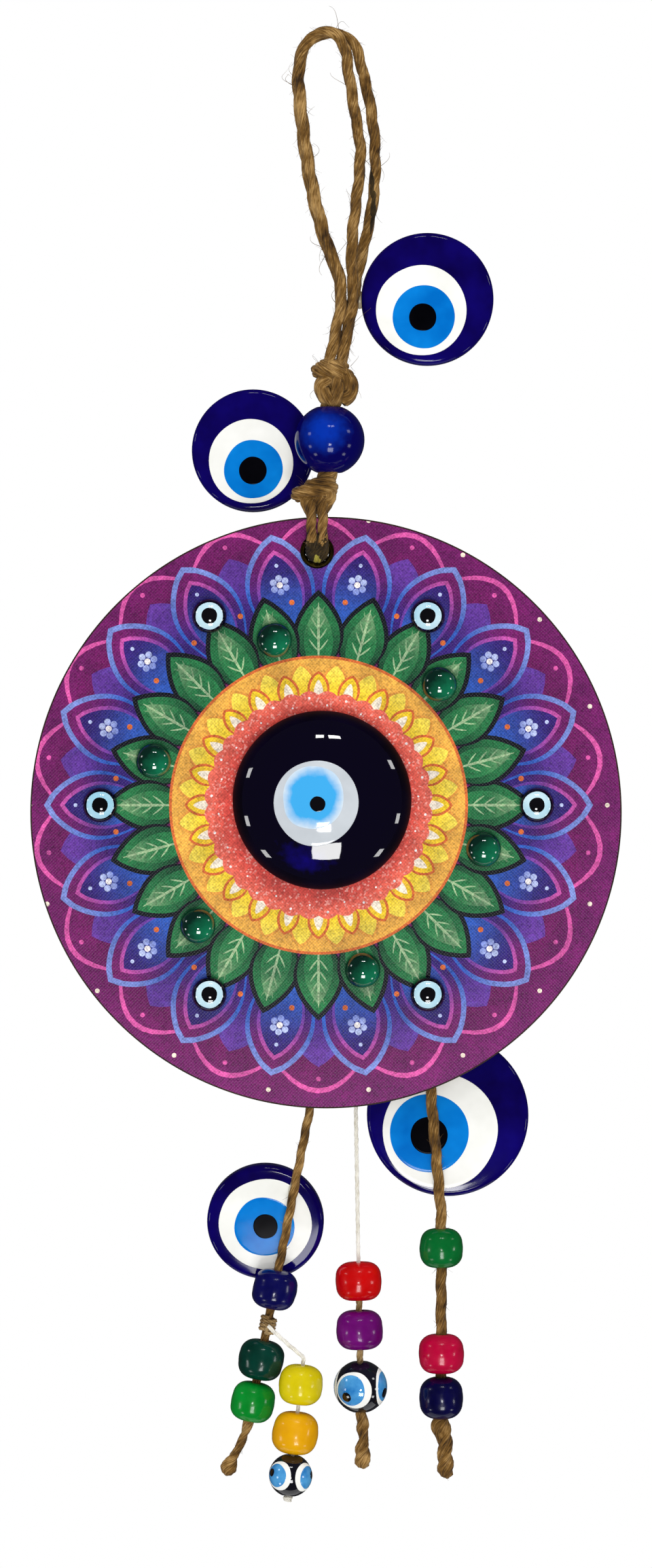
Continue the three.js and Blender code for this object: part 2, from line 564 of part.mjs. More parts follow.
// A strand: its cord from the hinge, its beads, and its tail
function strandOf(number, strand, beads, tail, finish) {
  const group = new THREE.Group();
  const run = runFrame(strand);
  run.updateMatrix();
  const { middles, foot } = beadPlaces(beads);
  const down = (distance) => new THREE.Vector3(0, 0, -distance).applyMatrix4(run.matrix);
  const start = new THREE.Vector3();
  const bend = strand.leanX ? [down(0).multiplyScalar(0.6), down(0), down(strand.cord)] : [];
  const ring = strand.leanY ? BRANCH_RING : RUN_RING;
  const cord = cordAlong([start, ...bend, down(foot / 2), down(foot)], strand.cord, ring);
  const ball = ellipsoid(strand.cord / 2, strand.cord / 2, strand.cord / 2, CORD_SIDES, 6);
  group.add(piece(`strand_cord_${number}`, join(cord, ball), finish));
  beads.forEach((bead, i) => {
    const shape = beadShape(bead, strand.cord + 2 * BORE_CLEARANCE);
    const glass = { color: bead.color, roughness: bead.ball ? 0.08 : 0.25 };
    run.add(placed(piece(bead.name, shape, glass), 0, 0, -middles[i]));
  });
  const last = tail.shape.at(-1)[1];
  const profile = [[0, -last], ...tail.shape.map(([r, drop]) => [r, -drop]).reverse(), [0, 0]];
  const end = placed(piece(`tail_${number}`, turnedUpright(profile, 10), JUTE), 0, 0, -foot - GAP);
  end.rotation.y = THREE.MathUtils.degToRad(tail.lean);
  run.add(end);
  group.add(run);
  return { group, run };
}

// The second strand is tied on halfway along the bare cord under the first strand's first bead,
// and its beads hang beside the first strand's
const widest = (beads) => Math.max(...beads.map(({ diameter }) => diameter));
const branchDown = BEADS_1[0].gap + BEADS_1[0].height + BEADS_1[1].gap / 2;
const branchLean = (widest(BEADS_1) + widest(BEADS_2)) / 2 + BRANCH_SIDE;
const branchStrand = { ...STRAND_2, leanX: branchLean };

// First strand, with the flat eye bonded to its cord and the tie that holds the second strand
function firstStrand() {
  const { group, run } = strandOf(1, STRAND_1, BEADS_1, TAIL_1, JUTE);
  const hinge = strandHinge(STRAND_1);
  group.position.copy(hinge);
  const eyeRadius = NAZAR_LOWER_LEFT.diameter / 2;
  const tilt = Math.asin((BEADS_1[0].diameter - STRAND_1.cord) / 2 / NAZAR_LOWER_LEFT.diameter);
  const eyeY = STRAND_1.cord / 2 + GAP + eyeRadius * Math.tan(tilt);
  const inPlace = (geometry) =>
    geometry.rotateX(tilt).translate(-NAZAR_LOWER_LEFT_SIDE, eyeY, -NAZAR_LOWER_LEFT_DOWN);
  const alongCord = [new THREE.Vector3(), new THREE.Vector3(0, 0, -branchDown)];
  const cordSeat = cordAlong(alongCord, STRAND_1.cord + 2 * GAP, branchDown);
  const dabDown = NAZAR_LOWER_LEFT_DOWN - eyeRadius * 0.66;
  const dab = ellipsoid(STRAND_1.cord * 0.72, STRAND_1.cord, NAZAR_GLUE / 2)
    .translate(-STRAND_1.cord * 0.2, STRAND_1.cord * 0.75, -dabDown);
  const tieRadius = STRAND_1.cord / 2 + GAP + STRAND_2.cord / 2;
  const tie = new THREE.TorusGeometry(tieRadius, STRAND_2.cord / 2, 6, 14).translate(0, 0, -branchDown);
  run.add(
    piece("nazar_lower_left", inPlace(flatEye(NAZAR_LOWER_LEFT)), COBALT),
    piece("glue_lower_left", cut(dab, inPlace(flatEyeSeat(NAZAR_LOWER_LEFT)), cordSeat), GLUE),
    piece("branch_tie", tie, STRING),
  );
  return group;
}

// Second strand, hung from the tie on the first
function secondStrand() {
  const { group } = strandOf(2, branchStrand, BEADS_2, TAIL_2, STRING);
  const run = runFrame(STRAND_1);
  run.position.copy(strandHinge(STRAND_1));
  run.updateMatrix();
  const reach = STRAND_1.cord / 2 + GAP + STRAND_2.cord + GAP + STRAND_2.cord / 2;
  group.position.copy(new THREE.Vector3(0, -reach, -branchDown).applyMatrix4(run.matrix));
  return group;
}

function hungStrand(number, strand, beads, tail, finish) {
  const { group } = strandOf(number, strand, beads, tail, finish);
  group.position.copy(strandHinge(strand));
  return group;
}

const wallHanging = new THREE.Group();
wallHanging.add(
  hangingLoop(),
  topBead(),
  hanger(),
  printedDisc(),
  firstStrand(),
  secondStrand(),
  hungStrand(3, STRAND_3, BEADS_3, TAIL_3, STRING),
  hungStrand(4, STRAND_4, BEADS_4, TAIL_4, JUTE),
);

export default wallHanging;
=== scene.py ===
import math
import random
from collections import namedtuple

import bmesh
import bpy
from mathutils import Matrix, Vector, noise
from mathutils.geometry import delaunay_2d_cdt


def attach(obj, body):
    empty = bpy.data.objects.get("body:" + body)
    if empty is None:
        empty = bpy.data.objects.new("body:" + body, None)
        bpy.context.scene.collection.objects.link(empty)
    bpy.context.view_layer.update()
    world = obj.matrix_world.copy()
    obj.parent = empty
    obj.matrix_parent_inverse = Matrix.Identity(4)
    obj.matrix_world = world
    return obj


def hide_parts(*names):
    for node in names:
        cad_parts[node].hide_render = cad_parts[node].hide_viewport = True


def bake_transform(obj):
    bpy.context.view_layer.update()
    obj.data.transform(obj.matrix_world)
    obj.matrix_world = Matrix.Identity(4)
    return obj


# Evil-eye wall hanging: a printed wooden disc with glass eyes and stones on a knotted jute loop,
# with four strands of beads and four flat glass eyes. Shapes are worked out in millimetres.

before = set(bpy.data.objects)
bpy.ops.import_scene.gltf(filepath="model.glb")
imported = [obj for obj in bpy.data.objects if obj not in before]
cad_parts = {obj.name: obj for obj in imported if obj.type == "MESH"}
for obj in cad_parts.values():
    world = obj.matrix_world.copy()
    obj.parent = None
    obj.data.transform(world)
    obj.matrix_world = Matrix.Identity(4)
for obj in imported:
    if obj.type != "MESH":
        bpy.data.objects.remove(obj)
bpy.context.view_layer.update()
MM = 0.001
TURN = 2 * math.pi

# Camera, in metres: straight on, far enough away that depth hardly shows
PICTURE_HEIGHT = 0.3978  # height of the picture at the disc
CAMERA_DISTANCE, CAMERA_HEIGHT = 1.35, -0.189
SENSOR = 36

# Lamps, in metres and watts: name, place, size, power, and whether the glass mirrors it
LAMPS = (
    ("overhead_fill", (0, -0.6, 1.2), (1.2, 0.6), 7.0, False),
    ("front_fill", (0, -2.2, 0.3), (1.6, 1.6), 5.0, False),
    ("back_fill", (0, 2.2, 0.5), (1.6, 1.6), 9.0, False),
    ("top_left_strip", (-0.03, -0.85, 0.68), (0.11, 0.08), 0.55, True),
    ("top_right_strip", (0.17, -0.85, 0.68), (0.17, 0.08), 0.85, True),
    ("window", (0.06, -1.1, -0.92), (0.4, 0.34), 5.2, True),
    ("low_lamp", (0.02, -1.2, -0.52), (0.16, 0.12), 1.8, True),
)
SMALL_LAMPS = (160, 27, -164, -14, -136, -43)  # degrees round the disc
SMALL_LAMP_ANGLE = math.radians(72)  # away from the camera's line of sight
SMALL_LAMP_REACH, SMALL_LAMP_SIZE, SMALL_LAMP_POWER = 1.2, (0.2, 0.15), 0.6
SKY_LIGHT, SKY_MIRRORED = 0.48, 0.04
FLOOR_Z, FLOOR_SIDE, FLOOR_NEAR, FLOOR_FAR = -1.1, 0.6, -0.1, 0.6

# Disc
DISC_X, DISC_Z, DISC_RADIUS = 0.0, -196.262, 75.0
PRINT_X, PRINT_Z = -1.9, -194.36
PRINT_FRONT, PRINT_BACK, BOARD_BACK = -1.5, -1.3, 1.5
RIM_BEVEL = 0.4
EYELET_X, EYELET_Z, HOLE_RADIUS = -2.25, -130.1, 3.6
EYELET_FRONT = (
    (3.0, -1.2), (3.02, -1.8), (3.2, -2.12), (3.55, -2.25), (3.95, -2.16), (4.22, -1.92),
    (4.3, -1.6), (4.1, -1.45), (3.5, -1.3),
)  # radius and y

# Stones: radius, height, height of the straight foot, and the drops as (x, z, radius)
CENTER_EYE_PLACE, CENTER_EYE = (-1.0, -193.06), (22.65, 10.8, 1.6)
CENTER_EYE_DROPS = ((-1.5, -0.75, 10.75), (-2.2, 0.5, 7.9), (-1.1, -1.0, 1.95))
CENTER_EYE_GROUND = 0.89  # share of its radius where its matt edge begins
EYE_STONE, EYE_STONE_DROPS = (4.4, 3.5, 1.0), ((0, 0, 3.5), (0, 0, 2.0))
GREEN_STONE = (4.5, 4.3, 1.0)
EYE_STONE_RING, GREEN_STONE_RING, GREEN_STONE_START = 55.3, 43.3, 45

# Hanging loops, as x and z
LOOP_CORD, LOOP_APART = 3.1, 1.7
LOOP_FRONT = (
    (0.75, -82.8), (2.6, -74), (4.0, -66), (3.1, -59), (0.9, -53.4), (-2.1, -43), (-4.2, -32.6),
    (-5.9, -20.4), (-6.8, -9.5), (-5.9, -3.6), (-3.2, 0.5), (0, 1.55), (3, 0.5), (4.9, -3.2),
    (5.6, -8), (7.3, -18.7), (8.7, -28.2), (7.9, -39.5), (6.8, -49), (6.5, -58), (6.9, -66),
    (5.5, -74), (3.75, -82.8),
)
LOOP_BACK = (
    (0.75, -82.8), (2.5, -74), (3.8, -66), (2.7, -59), (0.4, -53.4), (-2.7, -43), (-4.8, -32.6),
    (-6.4, -20.4), (-7.2, -9.5), (-6.3, -3.4), (-3.6, 0.3), (0.4, 1.55), (4.8, 0.9), (7.8, -2.4),
    (9.3, -8), (11.3, -17), (12.5, -28.2), (12.1, -39.5), (10.4, -49), (8.3, -58.5), (6.9, -66),
    (5.4, -74), (3.75, -82.8),
)
# Dark ply painted as shadow along the back loop's right edge
SHADOW_PLY = ((11.4, -32.5), (11.9, -38.5), (12.0, -43.5), (11.3, -49.5))  # dark, round the back loop
SHADOW_PLY_Y, SHADOW_PLY_TIP, SHADOW_PLY_SWELL = 0.5, 0.1, 0.65

# Knots: each band's height, tilt, shift, half width, half depth and thickness, and each lobe's
# thickness and points, from the middle of the knot
UPPER_KNOT = Vector((2.25, 0, -86.65))
UPPER_KNOT_BANDS = ((1.7, -0.9, -0.5, 3.6, 3.2, 2.1), (3.6, -0.4, -0.2, 2.3, 2.2, 1.7))
UPPER_KNOT_LOBES = (
    (2.1, (1.6, -2.3, 1.6), (3.7, -2.4, -0.6), (3.9, -2.0, -3.0), (1.8, -1.3, -5.0)),
    (2.0, (-2.2, -2.4, 0.4), (-3.5, -2.6, -1.8), (-2.5, -2.4, -3.9), (-0.4, -1.0, -5.4)),
    (1.7, (0.2, -3.0, 1.0), (0.7, -3.5, -1.6), (0.6, -2.8, -4.0), (0.2, -1.0, -5.6)),
)
LOWER_KNOT = Vector((-2.2, 0, -115.2))
LOWER_KNOT_BANDS = ((0.4, 0.8, -0.7, 4.2, 3.2, 2.0), (2.4, 0.5, 0.6, 2.6, 2.4, 1.6))
LOWER_KNOT_LOBES = (
    (1.6, (1.2, -2.4, 0.8), (3.3, -2.1, -0.8), (2.4, -1.9, -2.6), (1.4, -2.2, -4.4)),
    (1.6, (-1.4, -2.4, -0.4), (-3.0, -2.4, -1.8), (-2.3, -2.2, -3.4), (-1.6, -2.4, -4.6)),
    (1.4, (0.4, -2.6, 0.4), (0.5, -2.9, -1.4), (0.2, -2.2, -3.2), (0.0, -1.0, -4.2)),
)
TIE_KNOT_BANDS = ((0.25, 0.1, 0.0, 0.85, 0.8, 0.45), (-0.35, -0.1, 0.0, 0.7, 0.7, 0.42))
UPPER_KNOT_RADIUS, LOWER_KNOT_RADIUS = 5.0, 4.4  # where their fibres start
STUB_RADIUS = 2.5  # of the cord that goes from each knot into the top bead
UPPER_STUB = ((2.25, 0, -83.65), (1.6, 0, -90), (0.9, 0, -93.5), (0.9, 0, -100))
LOWER_STUB = ((-2.2, 0, -117.2), (-0.6, 0, -112.4), (0.9, 0, -109.5), (0.9, 0, -103))
TOP_BEAD = Vector((0.9, 0, -101.7))
TOP_BEAD_RADIUS, TOP_BEAD_BORE, BORE_LIP = 8.9, 2.85, 0.4

# Legs of the disc's cord: side, x at the knot, x in the eyelet, and their route as y and z
LEG_CORD = 2.2
LEGS = (("left", -3.75, -3.7), ("right", -0.9, -0.85))
LEG_AT_KNOT = ((-2.2, -117.0), (-3.6, -119.5))
LEG_AT_HOLE = ((-4.2, -124.9), (-4.2, -127.1), (-3.7, -128.6), (-2.2, -129.45), (0, -129.6))
SHADE_BELOW, SHADE_EDGE = -127.5, 1.8  # painted shade: the legs are painted dark where they go into the eyelet

# Loose plies painted dark as shade in the eyelet: the angle of each on a ring about its middle, and a paler
# one
LOOSE_PLIES = {"left": (155, 180, 208, 238, 268), "right": (298, 328, 0, 25)}
LOOSE_PLY_RING, LOOSE_PLY_RADIUS, GLINT_PLY_RADIUS = 1.8, 1.24, 1.15
# The paler ply is a painted glint at the bottom of the eyelet
GLINT_PLY = ((-0.6, -130.3), (-2.2, -130.9), (-2.7, -131.6), (-1.9, -132.0), (0.6, -131.9))  # y and z

# Flat glass eyes: body, centre x, front y and centre z, radius, thickness and crown, then the white,
# blue and black drops as (x, z, radius) from the centre
NAZARS = {
    "top_right": ("hanging_cord", (25.75, -0.6, -65.9), 16.8, 4.6, 0.5,
                  (-1.5, -2.95, 11.5), (-1.0, -4.65, 7.95), (-1.25, -4.75, 3.5)),
    "top_left": ("disc_cord", (-18.65, 8.3, -103.8), 15.65, 4.6, 0.4,
                 (-0.5, -2.8, 10.8), (0.1, -4.85, 7.5), (0.0, -5.2, 3.55)),
    "lower_right": ("disc", (31.03, 5.1, -273.458), 20.6, 5.0, 0.2,
                    (-1.9, -3.8, 14.75), (-4.7, -4.4, 10.05), (-4.85, -5.0, 4.75)),
    "lower_left": ("strand_1", (-5.6, 3.7, -29.9), 14.9, 4.4, 0.15,
                   (0.12, -0.3, 11.8), (0.05, -0.95, 7.65), (0.25, -0.8, 3.2)),
}
NAZAR_TILT = math.radians(8.39)  # of the one that leans on the first strand
FRONT_ROUND, BACK_ROUND = 1.4, 0.7

# Strands: start of the straight run, its angle about Y, the cord's diameter, the foot of the last bead,
# the lean of the tail, and each bead's name, distance down the run, diameter and height
Strand = namedtuple("Strand", "start angle cord foot lean beads")
STRANDS = {
    1: Strand((-4.3, 3.0, -272.638), 0.19258, 2.4, 79.8, 12, (
        ("blue", 45.7, 11.1, 10.0), ("dark_green", 63.9, 11.3, 10.0), ("green", 74.8, 10.9, 10.0))),
    2: Strand((-5.688, -1.0, -334.625), 0.11253, 1.1, 34.9, 0, (
        ("yellow", 6.7, 10.9, 10.0), ("orange", 19.0, 11.3, 10.6), ("eye", 29.8, 10.9, 10.2))),
    3: Strand((7.6, 2.35, -272.376), -0.0166, 1.1, 76.2, -2, (
        ("red", 42.95, 11.5, 9.7), ("purple", 55.35, 11.6, 9.9), ("eye", 69.8, 13.4, 12.8))),
    4: Strand((29.3, 3.3, -298.848), 0.0, 3.0, 51.5, -6, (
        ("green", 8.15, 10.8, 9.9), ("pink", 35.05, 11.3, 9.9), ("navy", 46.25, 10.9, 10.5))),
}
ROOT_LENGTH = 18.5  # of a straight strand above the disc's rim
BRANCH_HINGE = Vector((-14.788, -0.45, -326.425))
STRAND_4_HINGE = Vector((26.7, 3.3, -267.848))
STRAND_4_ROOT = 25
INNER_JUTE = {3: (45.0, 0.9)}  # distance down and radius of the jute that goes up through the beads
TIE_DOWN, TIE_RADIUS, TIE_HEIGHT, TIE_STRING = 54.8, 1.7, 4.0, 0.55

# Tails: plies, then (distance below the last bead, radius) pairs
TAIL_HIDDEN = 3.0  # length inside the last bead
TAILS = {
    1: (2, ((-3.0, 1.1), (1.0, 1.4), (4.0, 1.35), (7.6, 1.05), (11.4, 2.0), (13.3, 2.15),
            (14.5, 1.5), (15.1, 0.3))),
    3: (3, ((-3.0, 1.0), (1.0, 1.5), (3.6, 1.8), (6.4, 1.35), (10.6, 2.1), (12.7, 2.2),
            (13.9, 1.6), (14.5, 0.3))),
    4: (3, ((-3.0, 1.3), (1.0, 1.9), (3.0, 2.2), (8.0, 2.0), (12.7, 2.3), (14.6, 1.7), (15.4, 0.3))),
}
TAIL_4_FOLD = (
    (-0.6, 0.3, -0.6), (0.8, -1.3, -0.9), (2.6, -1.5, -0.9), (4.6, -0.6, -0.8), (6.4, 0.2, 0),
)  # distance down, x and y
TAIL_4_FOLD_RADIUS = 1.35

# Beads: colour names, with a deep and a bright shade
BEAD_COLOURS = {
    "bead_1_blue": ("blue_bead", (3, 3, 64), (9, 9, 82)),
    "bead_1_dark_green": ("dark_green_bead", (0, 38, 29), (3, 56, 45)),
    "bead_1_green": ("green_bead", (0, 120, 32), (5, 140, 46)),
    "bead_2_yellow": ("yellow_bead", (202, 184, 2), (220, 202, 14)),
    "bead_2_orange": ("orange_bead", (214, 150, 0), (228, 168, 6)),
    "bead_3_red": ("red_bead", (180, 0, 2), (202, 5, 6)),
    "bead_3_purple": ("purple_bead", (88, 1, 90), (108, 8, 112)),
    "bead_4_green": ("emerald_bead", (0, 88, 32), (3, 106, 46)),
    "bead_4_pink": ("pink_bead", (160, 0, 42), (188, 5, 60)),
    "bead_4_navy": ("navy_bead", (2, 1, 44), (8, 6, 64)),
}
# Eyes on the black beads: degrees round and up, and -1 where the drops are mirrored; then the place and
# radius of the white, blue and black drops, as shares of the bead's radius
EYE_BEADS = {
    "bead_3_eye": (((-22, -4, 1), (78, 2, 1), (172, -3, 1), (-114, 4, 1)),
                   ((0.04, 0, 0.77), (-0.05, 0, 0.6), (-0.2, -0.24, 0.19))),
    "bead_2_eye": (((-42, 0, 1), (58, 3, -1), (178, -2, 1)),
                   ((0.06, 0, 0.72), (-0.03, 0, 0.56), (-0.32, 0.1, 0.19))),
}
BORE_PLAY, BARREL_CROWN, BARREL_LIP, BARREL_DENT = 0.35, 0.12, 0.35, 0.2

# Dabs of glue: body, place, radii and seed. The last lies on the run of the first strand.
GLUE_DABS = {
    "glue_top_right": ("hanging_cord", (8.6, 4.0, -65.9), (2.6, 2.1, 2.2), 1.0),
    "glue_top_left": ("disc_cord", (-7.0, 6.4, -115.0), (1.7, 3.3, 1.8), 4.0),
    "glue_lower_right": ("disc", (31.8, 3.3, -259.2), (3.6, 2.0, 3.6), 7.0),
    "glue_lower_left": ("strand_1", (-0.2, 1.8, -20.07), (1.2, 2.4, 3.0), 9.0),
}


def rgb(red, green, blue):
    """A colour given in display values, as linear light."""
    def linear(value):
        share = value / 255
        return share / 12.92 if share <= 0.04045 else ((share + 0.055) / 1.055) ** 2.4
    return (linear(red), linear(green), linear(blue), 1.0)


def grey(level):
    return (level, level, level, 1.0)


def mixed(first, second, share):
    return tuple(a + (b - a) * share for a, b in zip(first, second))


def eased(value):
    value = min(1.0, max(0.0, value))
    return value * value * (3 - 2 * value)


def polar(radius, degrees, aside=0.0):
    """A point on a ray from the middle, moved aside from it."""
    a = math.radians(degrees)
    return (radius * math.cos(a) - aside * math.sin(a), radius * math.sin(a) + aside * math.cos(a))


def circle(x, y, radius, count):
    angles = [TURN * k / count for k in range(count)]
    return [(x + radius * math.cos(a), y + radius * math.sin(a)) for a in angles]


# Materials

CANVAS = TURN / 0.00085  # turns the object's metres into threads of the canvas that the print imitates


class Nodes:
    """Helpers for a tree of shader nodes."""

    def __init__(self, tree):
        self.tree = tree

    def feed(self, value, socket):
        if isinstance(value, bpy.types.NodeSocket):
            self.tree.links.new(value, socket)
        else:
            socket.default_value = value

    def node(self, kind, **inputs):
        made = self.tree.nodes.new("ShaderNode" + kind)
        for socket, value in inputs.items():
            self.feed(value, made.inputs[socket.replace("_", " ")])
        return made

    def mix(self, share, first, second, blend=None):
        """Mixes two numbers, or two colours where a way to blend them is given."""
        made = self.node("Mix")
        if blend:
            made.data_type = "RGBA"
            made.blend_type = blend
        for socket, value in zip((0, 6, 7) if blend else (0, 2, 3), (share, first, second)):
            self.feed(value, made.inputs[socket])
        return made.outputs[2 if blend else 0]


class Paint(Nodes):
    """A Principled material."""

    def __init__(self, name, **settings):
        self.material = bpy.data.materials.new(name)
        self.material.use_nodes = True
        super().__init__(self.material.node_tree)
        self.shader = self.tree.nodes["Principled BSDF"]
        for socket, value in settings.items():
            self.into(value, socket.replace("_", " "))

    def into(self, value, socket):
        self.feed(value, self.shader.inputs[socket])

    def place(self, kind="Object", scale=(1, 1, 1)):
        spot = self.node("TexCoord").outputs[kind]
        return self.node("Mapping", Vector=spot, Scale=scale).outputs["Vector"]

    def noise(self, scale, detail=3.0, roughness=0.55, place=None):
        made = self.node("TexNoise", Vector=place or self.place(), Scale=scale, Detail=detail,
                         Roughness=roughness)
        return made.outputs["Fac"]

    def ramp(self, value, spots, colours):
        made = self.node("ValToRGB", Fac=value)
        band = made.color_ramp
        while len(band.elements) < len(spots):
            band.elements.new(0.5)
        for element, spot, colour in zip(band.elements, spots, colours):
            element.position = spot
            element.color = colour
        return made.outputs["Color"]

    def colour(self, value, spots, colours):
        self.into(self.ramp(value, spots, colours), "Base Color")

    def span(self, value, low, high, to_low, to_high):
        made = self.node("MapRange", Value=value, From_Min=low, From_Max=high, To_Min=to_low, To_Max=to_high)
        return made.outputs["Result"]

    def math(self, what, first, second):
        made = self.node("Math")
        made.operation = what
        self.feed(first, made.inputs[0])
        self.feed(second, made.inputs[1])
        return made.outputs[0]

    def times(self, value, share):
        return self.math("MULTIPLY", value, share)

    def blend(self, first, share, second, other_share):
        return self.math("ADD", self.times(first, share), self.times(second, other_share))

    def bump(self, height, strength, distance):
        made = self.node("Bump", Height=height, Strength=strength, Distance=distance)
        self.into(made.outputs["Normal"], "Normal")


def jute_paint(name, *colours, fibres=16):
    """Streaks along each ply, and lighter and darker stretches."""
    paint = Paint(name, Roughness=0.86, Sheen_Weight=0.06, Sheen_Roughness=0.5, Specular_IOR_Level=0.25)
    streaks = paint.noise(1.0, 4.0, 0.65, paint.place("UV", (fibres, 0.3, 1)))
    paint.colour(paint.blend(streaks, 0.7, paint.noise(190.0), 0.6), (0.48, 0.645, 0.82), colours)
    paint.bump(streaks, 0.75, 0.00035)
    return paint.material


def patchy_paint(name, spots, colours, patches, grain, relief, rough=None, **settings):
    """Drifts between two colours in patches, with a grain in relief. rough gives the noise that varies the
    roughness, then its two ends."""
    paint = Paint(name, **settings)
    paint.colour(paint.noise(*patches), spots, colours)
    if rough:
        paint.into(paint.span(paint.noise(*rough[0]), 0.3, 0.7, *rough[1:]), "Roughness")
    paint.bump(paint.noise(*grain), *relief)
    return paint.material


def glass_paint(name, deep, bright, roughness=0.06, swirl=90.0, coat=0.6, shine=0.5):
    return patchy_paint(name, (0.32, 0.7), (deep, bright), (swirl,), (130.0, 1.0), (0.08, 0.0004),
                        Roughness=roughness, IOR=1.52, Coat_Weight=coat, Coat_Roughness=0.03,
                        Specular_IOR_Level=shine)


def plastic_paint(name, deep, bright):
    return patchy_paint(name, (0.3, 0.68), (deep, bright), (160.0,), (220.0, 2.0), (0.12, 0.0004),
                        ((600.0, 2.0), 0.14, 0.26), IOR=1.5, Coat_Weight=0.22, Coat_Roughness=0.06,
                        Specular_IOR_Level=0.28)


def run_glass_paint(name, middle, edge):
    """Glass that has run into the colour round it: paler towards the edge of the drop."""
    paint = Paint(name, Roughness=0.06, IOR=1.52, Coat_Weight=0.6, Coat_Roughness=0.03)
    reach = paint.node("SeparateXYZ", Vector=paint.place("UV")).outputs["Y"]
    cloud = paint.times(paint.noise(260.0), 0.4)
    paint.colour(paint.times(paint.math("ADD", reach, cloud), 0.6), (0.54, 0.74), (middle, edge))
    return paint.material


def painted_glow_glass_paint(name, spot, reaches, lit, deep, roughness, coat, shine=0.5):
    """Dark glass with a painted glow of light round one spot, which is given as shares of the piece's box.
    """
    paint = Paint(name, Roughness=roughness, IOR=1.53, Coat_Weight=coat, Coat_Roughness=0.02,
                  Specular_IOR_Level=shine)
    away = paint.node("VectorMath")
    away.operation = "DISTANCE"
    paint.feed(paint.place("Generated"), away.inputs[0])
    away.inputs[1].default_value = spot
    cloud = paint.times(paint.noise(500.0, 2.0), 0.22)
    paint.colour(paint.math("ADD", away.outputs["Value"], cloud), reaches, (lit, deep))
    paint.bump(paint.noise(400.0, 1.0), 0.05, 0.0003)
    return paint.material


def print_paint(name, glitter):
    """Ink on a woven, lacquered surface."""
    paint = Paint(name, IOR=1.45, Coat_Weight=0.08, Coat_Roughness=0.26, Specular_IOR_Level=0.35)
    ink = paint.node("VertexColor")
    ink.layer_name = "ink"
    grain = paint.noise(1500.0, 3.0, 0.7)
    darker = paint.ramp(grain, (0.3, 0.62), (grey(0.42), grey(1.2)))
    shade = paint.mix(0.75, ink.outputs["Color"], darker, "MULTIPLY")
    wash = paint.noise(130.0, 4.0, 0.6)
    washed = paint.ramp(wash, (0.3, 0.7), ((0.64, 0.62, 0.72, 1), (1.28, 1.24, 1.22, 1)))
    shade = paint.mix(0.8, shade, washed, "MULTIPLY")
    threads = paint.node("SeparateXYZ", Vector=paint.place("Object", (CANVAS, CANVAS, CANVAS)))
    weave = paint.times(*(paint.math("SINE", threads.outputs[axis], 0.0) for axis in "XZ"))
    woven = paint.ramp(paint.span(weave, -1, 1, 0, 1), (0.2, 0.8), ((0.84, 0.84, 0.86, 1), grey(1.08)))
    shade = paint.mix(1.0, shade, woven, "MULTIPLY")
    height = paint.math("ADD", grain, paint.times(weave, 0.35))
    if glitter:
        flakes = paint.node("TexVoronoi", Vector=paint.place(), Scale=2200.0)
        height = flakes.outputs["Color"]
        # Pale glitter flakes, with their sparkle painted into the colour as glints
        flake_and_glint = paint.times(paint.span(height, 0.72, 0.86, 0.0, 1.0), 0.55)
        shade = paint.mix(flake_and_glint, shade, rgb(255, 190, 180), "MIX")
    paint.into(shade, "Base Color")
    paint.into(paint.span(grain, 0.3, 0.7, 0.27, 0.4), "Roughness")
    paint.bump(height, 0.3, 0.0002)
    return paint.material


def board_paint(name, dark, light, roughness):
    paint = Paint(name, Roughness=roughness)
    fibres = paint.noise(1.0, 4.0, 0.7, paint.place("Object", (900, 900, 2600)))
    paint.colour(paint.blend(fibres, 0.6, paint.noise(60.0), 0.4), (0.35, 0.66), (dark, light))
    paint.bump(fibres, 0.4, 0.0002)
    return paint.material


JUTE = jute_paint("jute", rgb(44, 25, 4), rgb(116, 82, 32), rgb(188, 150, 92))
# Painted shade and glint: dark jute for shade in the eyelet and on the back loop, pale jute for the eyelet's
# glint
SHADE_JUTE = jute_paint("painted_shade_jute", rgb(20, 13, 3), rgb(44, 32, 11), rgb(78, 60, 26))
GLINT_JUTE = jute_paint("painted_glint_jute", rgb(72, 64, 12), rgb(150, 138, 44), rgb(192, 182, 92))
STRING = jute_paint("string", rgb(204, 196, 176), rgb(238, 234, 222), rgb(252, 250, 244), fibres=10)
TAN_STRING = jute_paint("tan_string", rgb(112, 84, 44), rgb(172, 142, 94), rgb(214, 190, 148), fibres=10)
COBALT = glass_paint("cobalt_glass", rgb(8, 0, 66), rgb(14, 4, 102), 0.07, coat=0.1, shine=0.2)
# Painted light: a painted reflection in the blue glass's upper middle, painted glows low in the night and
# green glass
TOP_BLUE = painted_glow_glass_paint("blue_glass", (0.42, 0.08, 0.62), (0.22, 0.52), rgb(4, 48, 164), rgb(5, 3, 82),
                           0.1, 0.0, 0.2)
NIGHT = painted_glow_glass_paint("night_glass", (0.4, 0.25, 0.16), (0.1, 0.28), rgb(12, 2, 100), rgb(3, 0, 20),
                        0.03, 0.6)
EMERALD = painted_glow_glass_paint("green_glass", (0.66, 0.3, 0.36), (0.2, 0.62), rgb(16, 124, 84), rgb(2, 34, 26),
                          0.04, 0.8)
GROUND_NIGHT = glass_paint("ground_night_glass", rgb(2, 0, 12), rgb(5, 1, 26), 0.5, coat=0.0, shine=0.05)
EYE_WHITE = glass_paint("eye_white", rgb(236, 236, 230), rgb(250, 250, 246), 0.08, coat=0.04, shine=0.08)
EYE_BLUE = glass_paint("eye_blue", rgb(0, 104, 192), rgb(10, 134, 222), 0.08, coat=0.04, shine=0.08)
PUPIL_BLACK = glass_paint("pupil_black", rgb(3, 3, 6), rgb(10, 9, 14), 0.1, coat=0.0, shine=0.03)
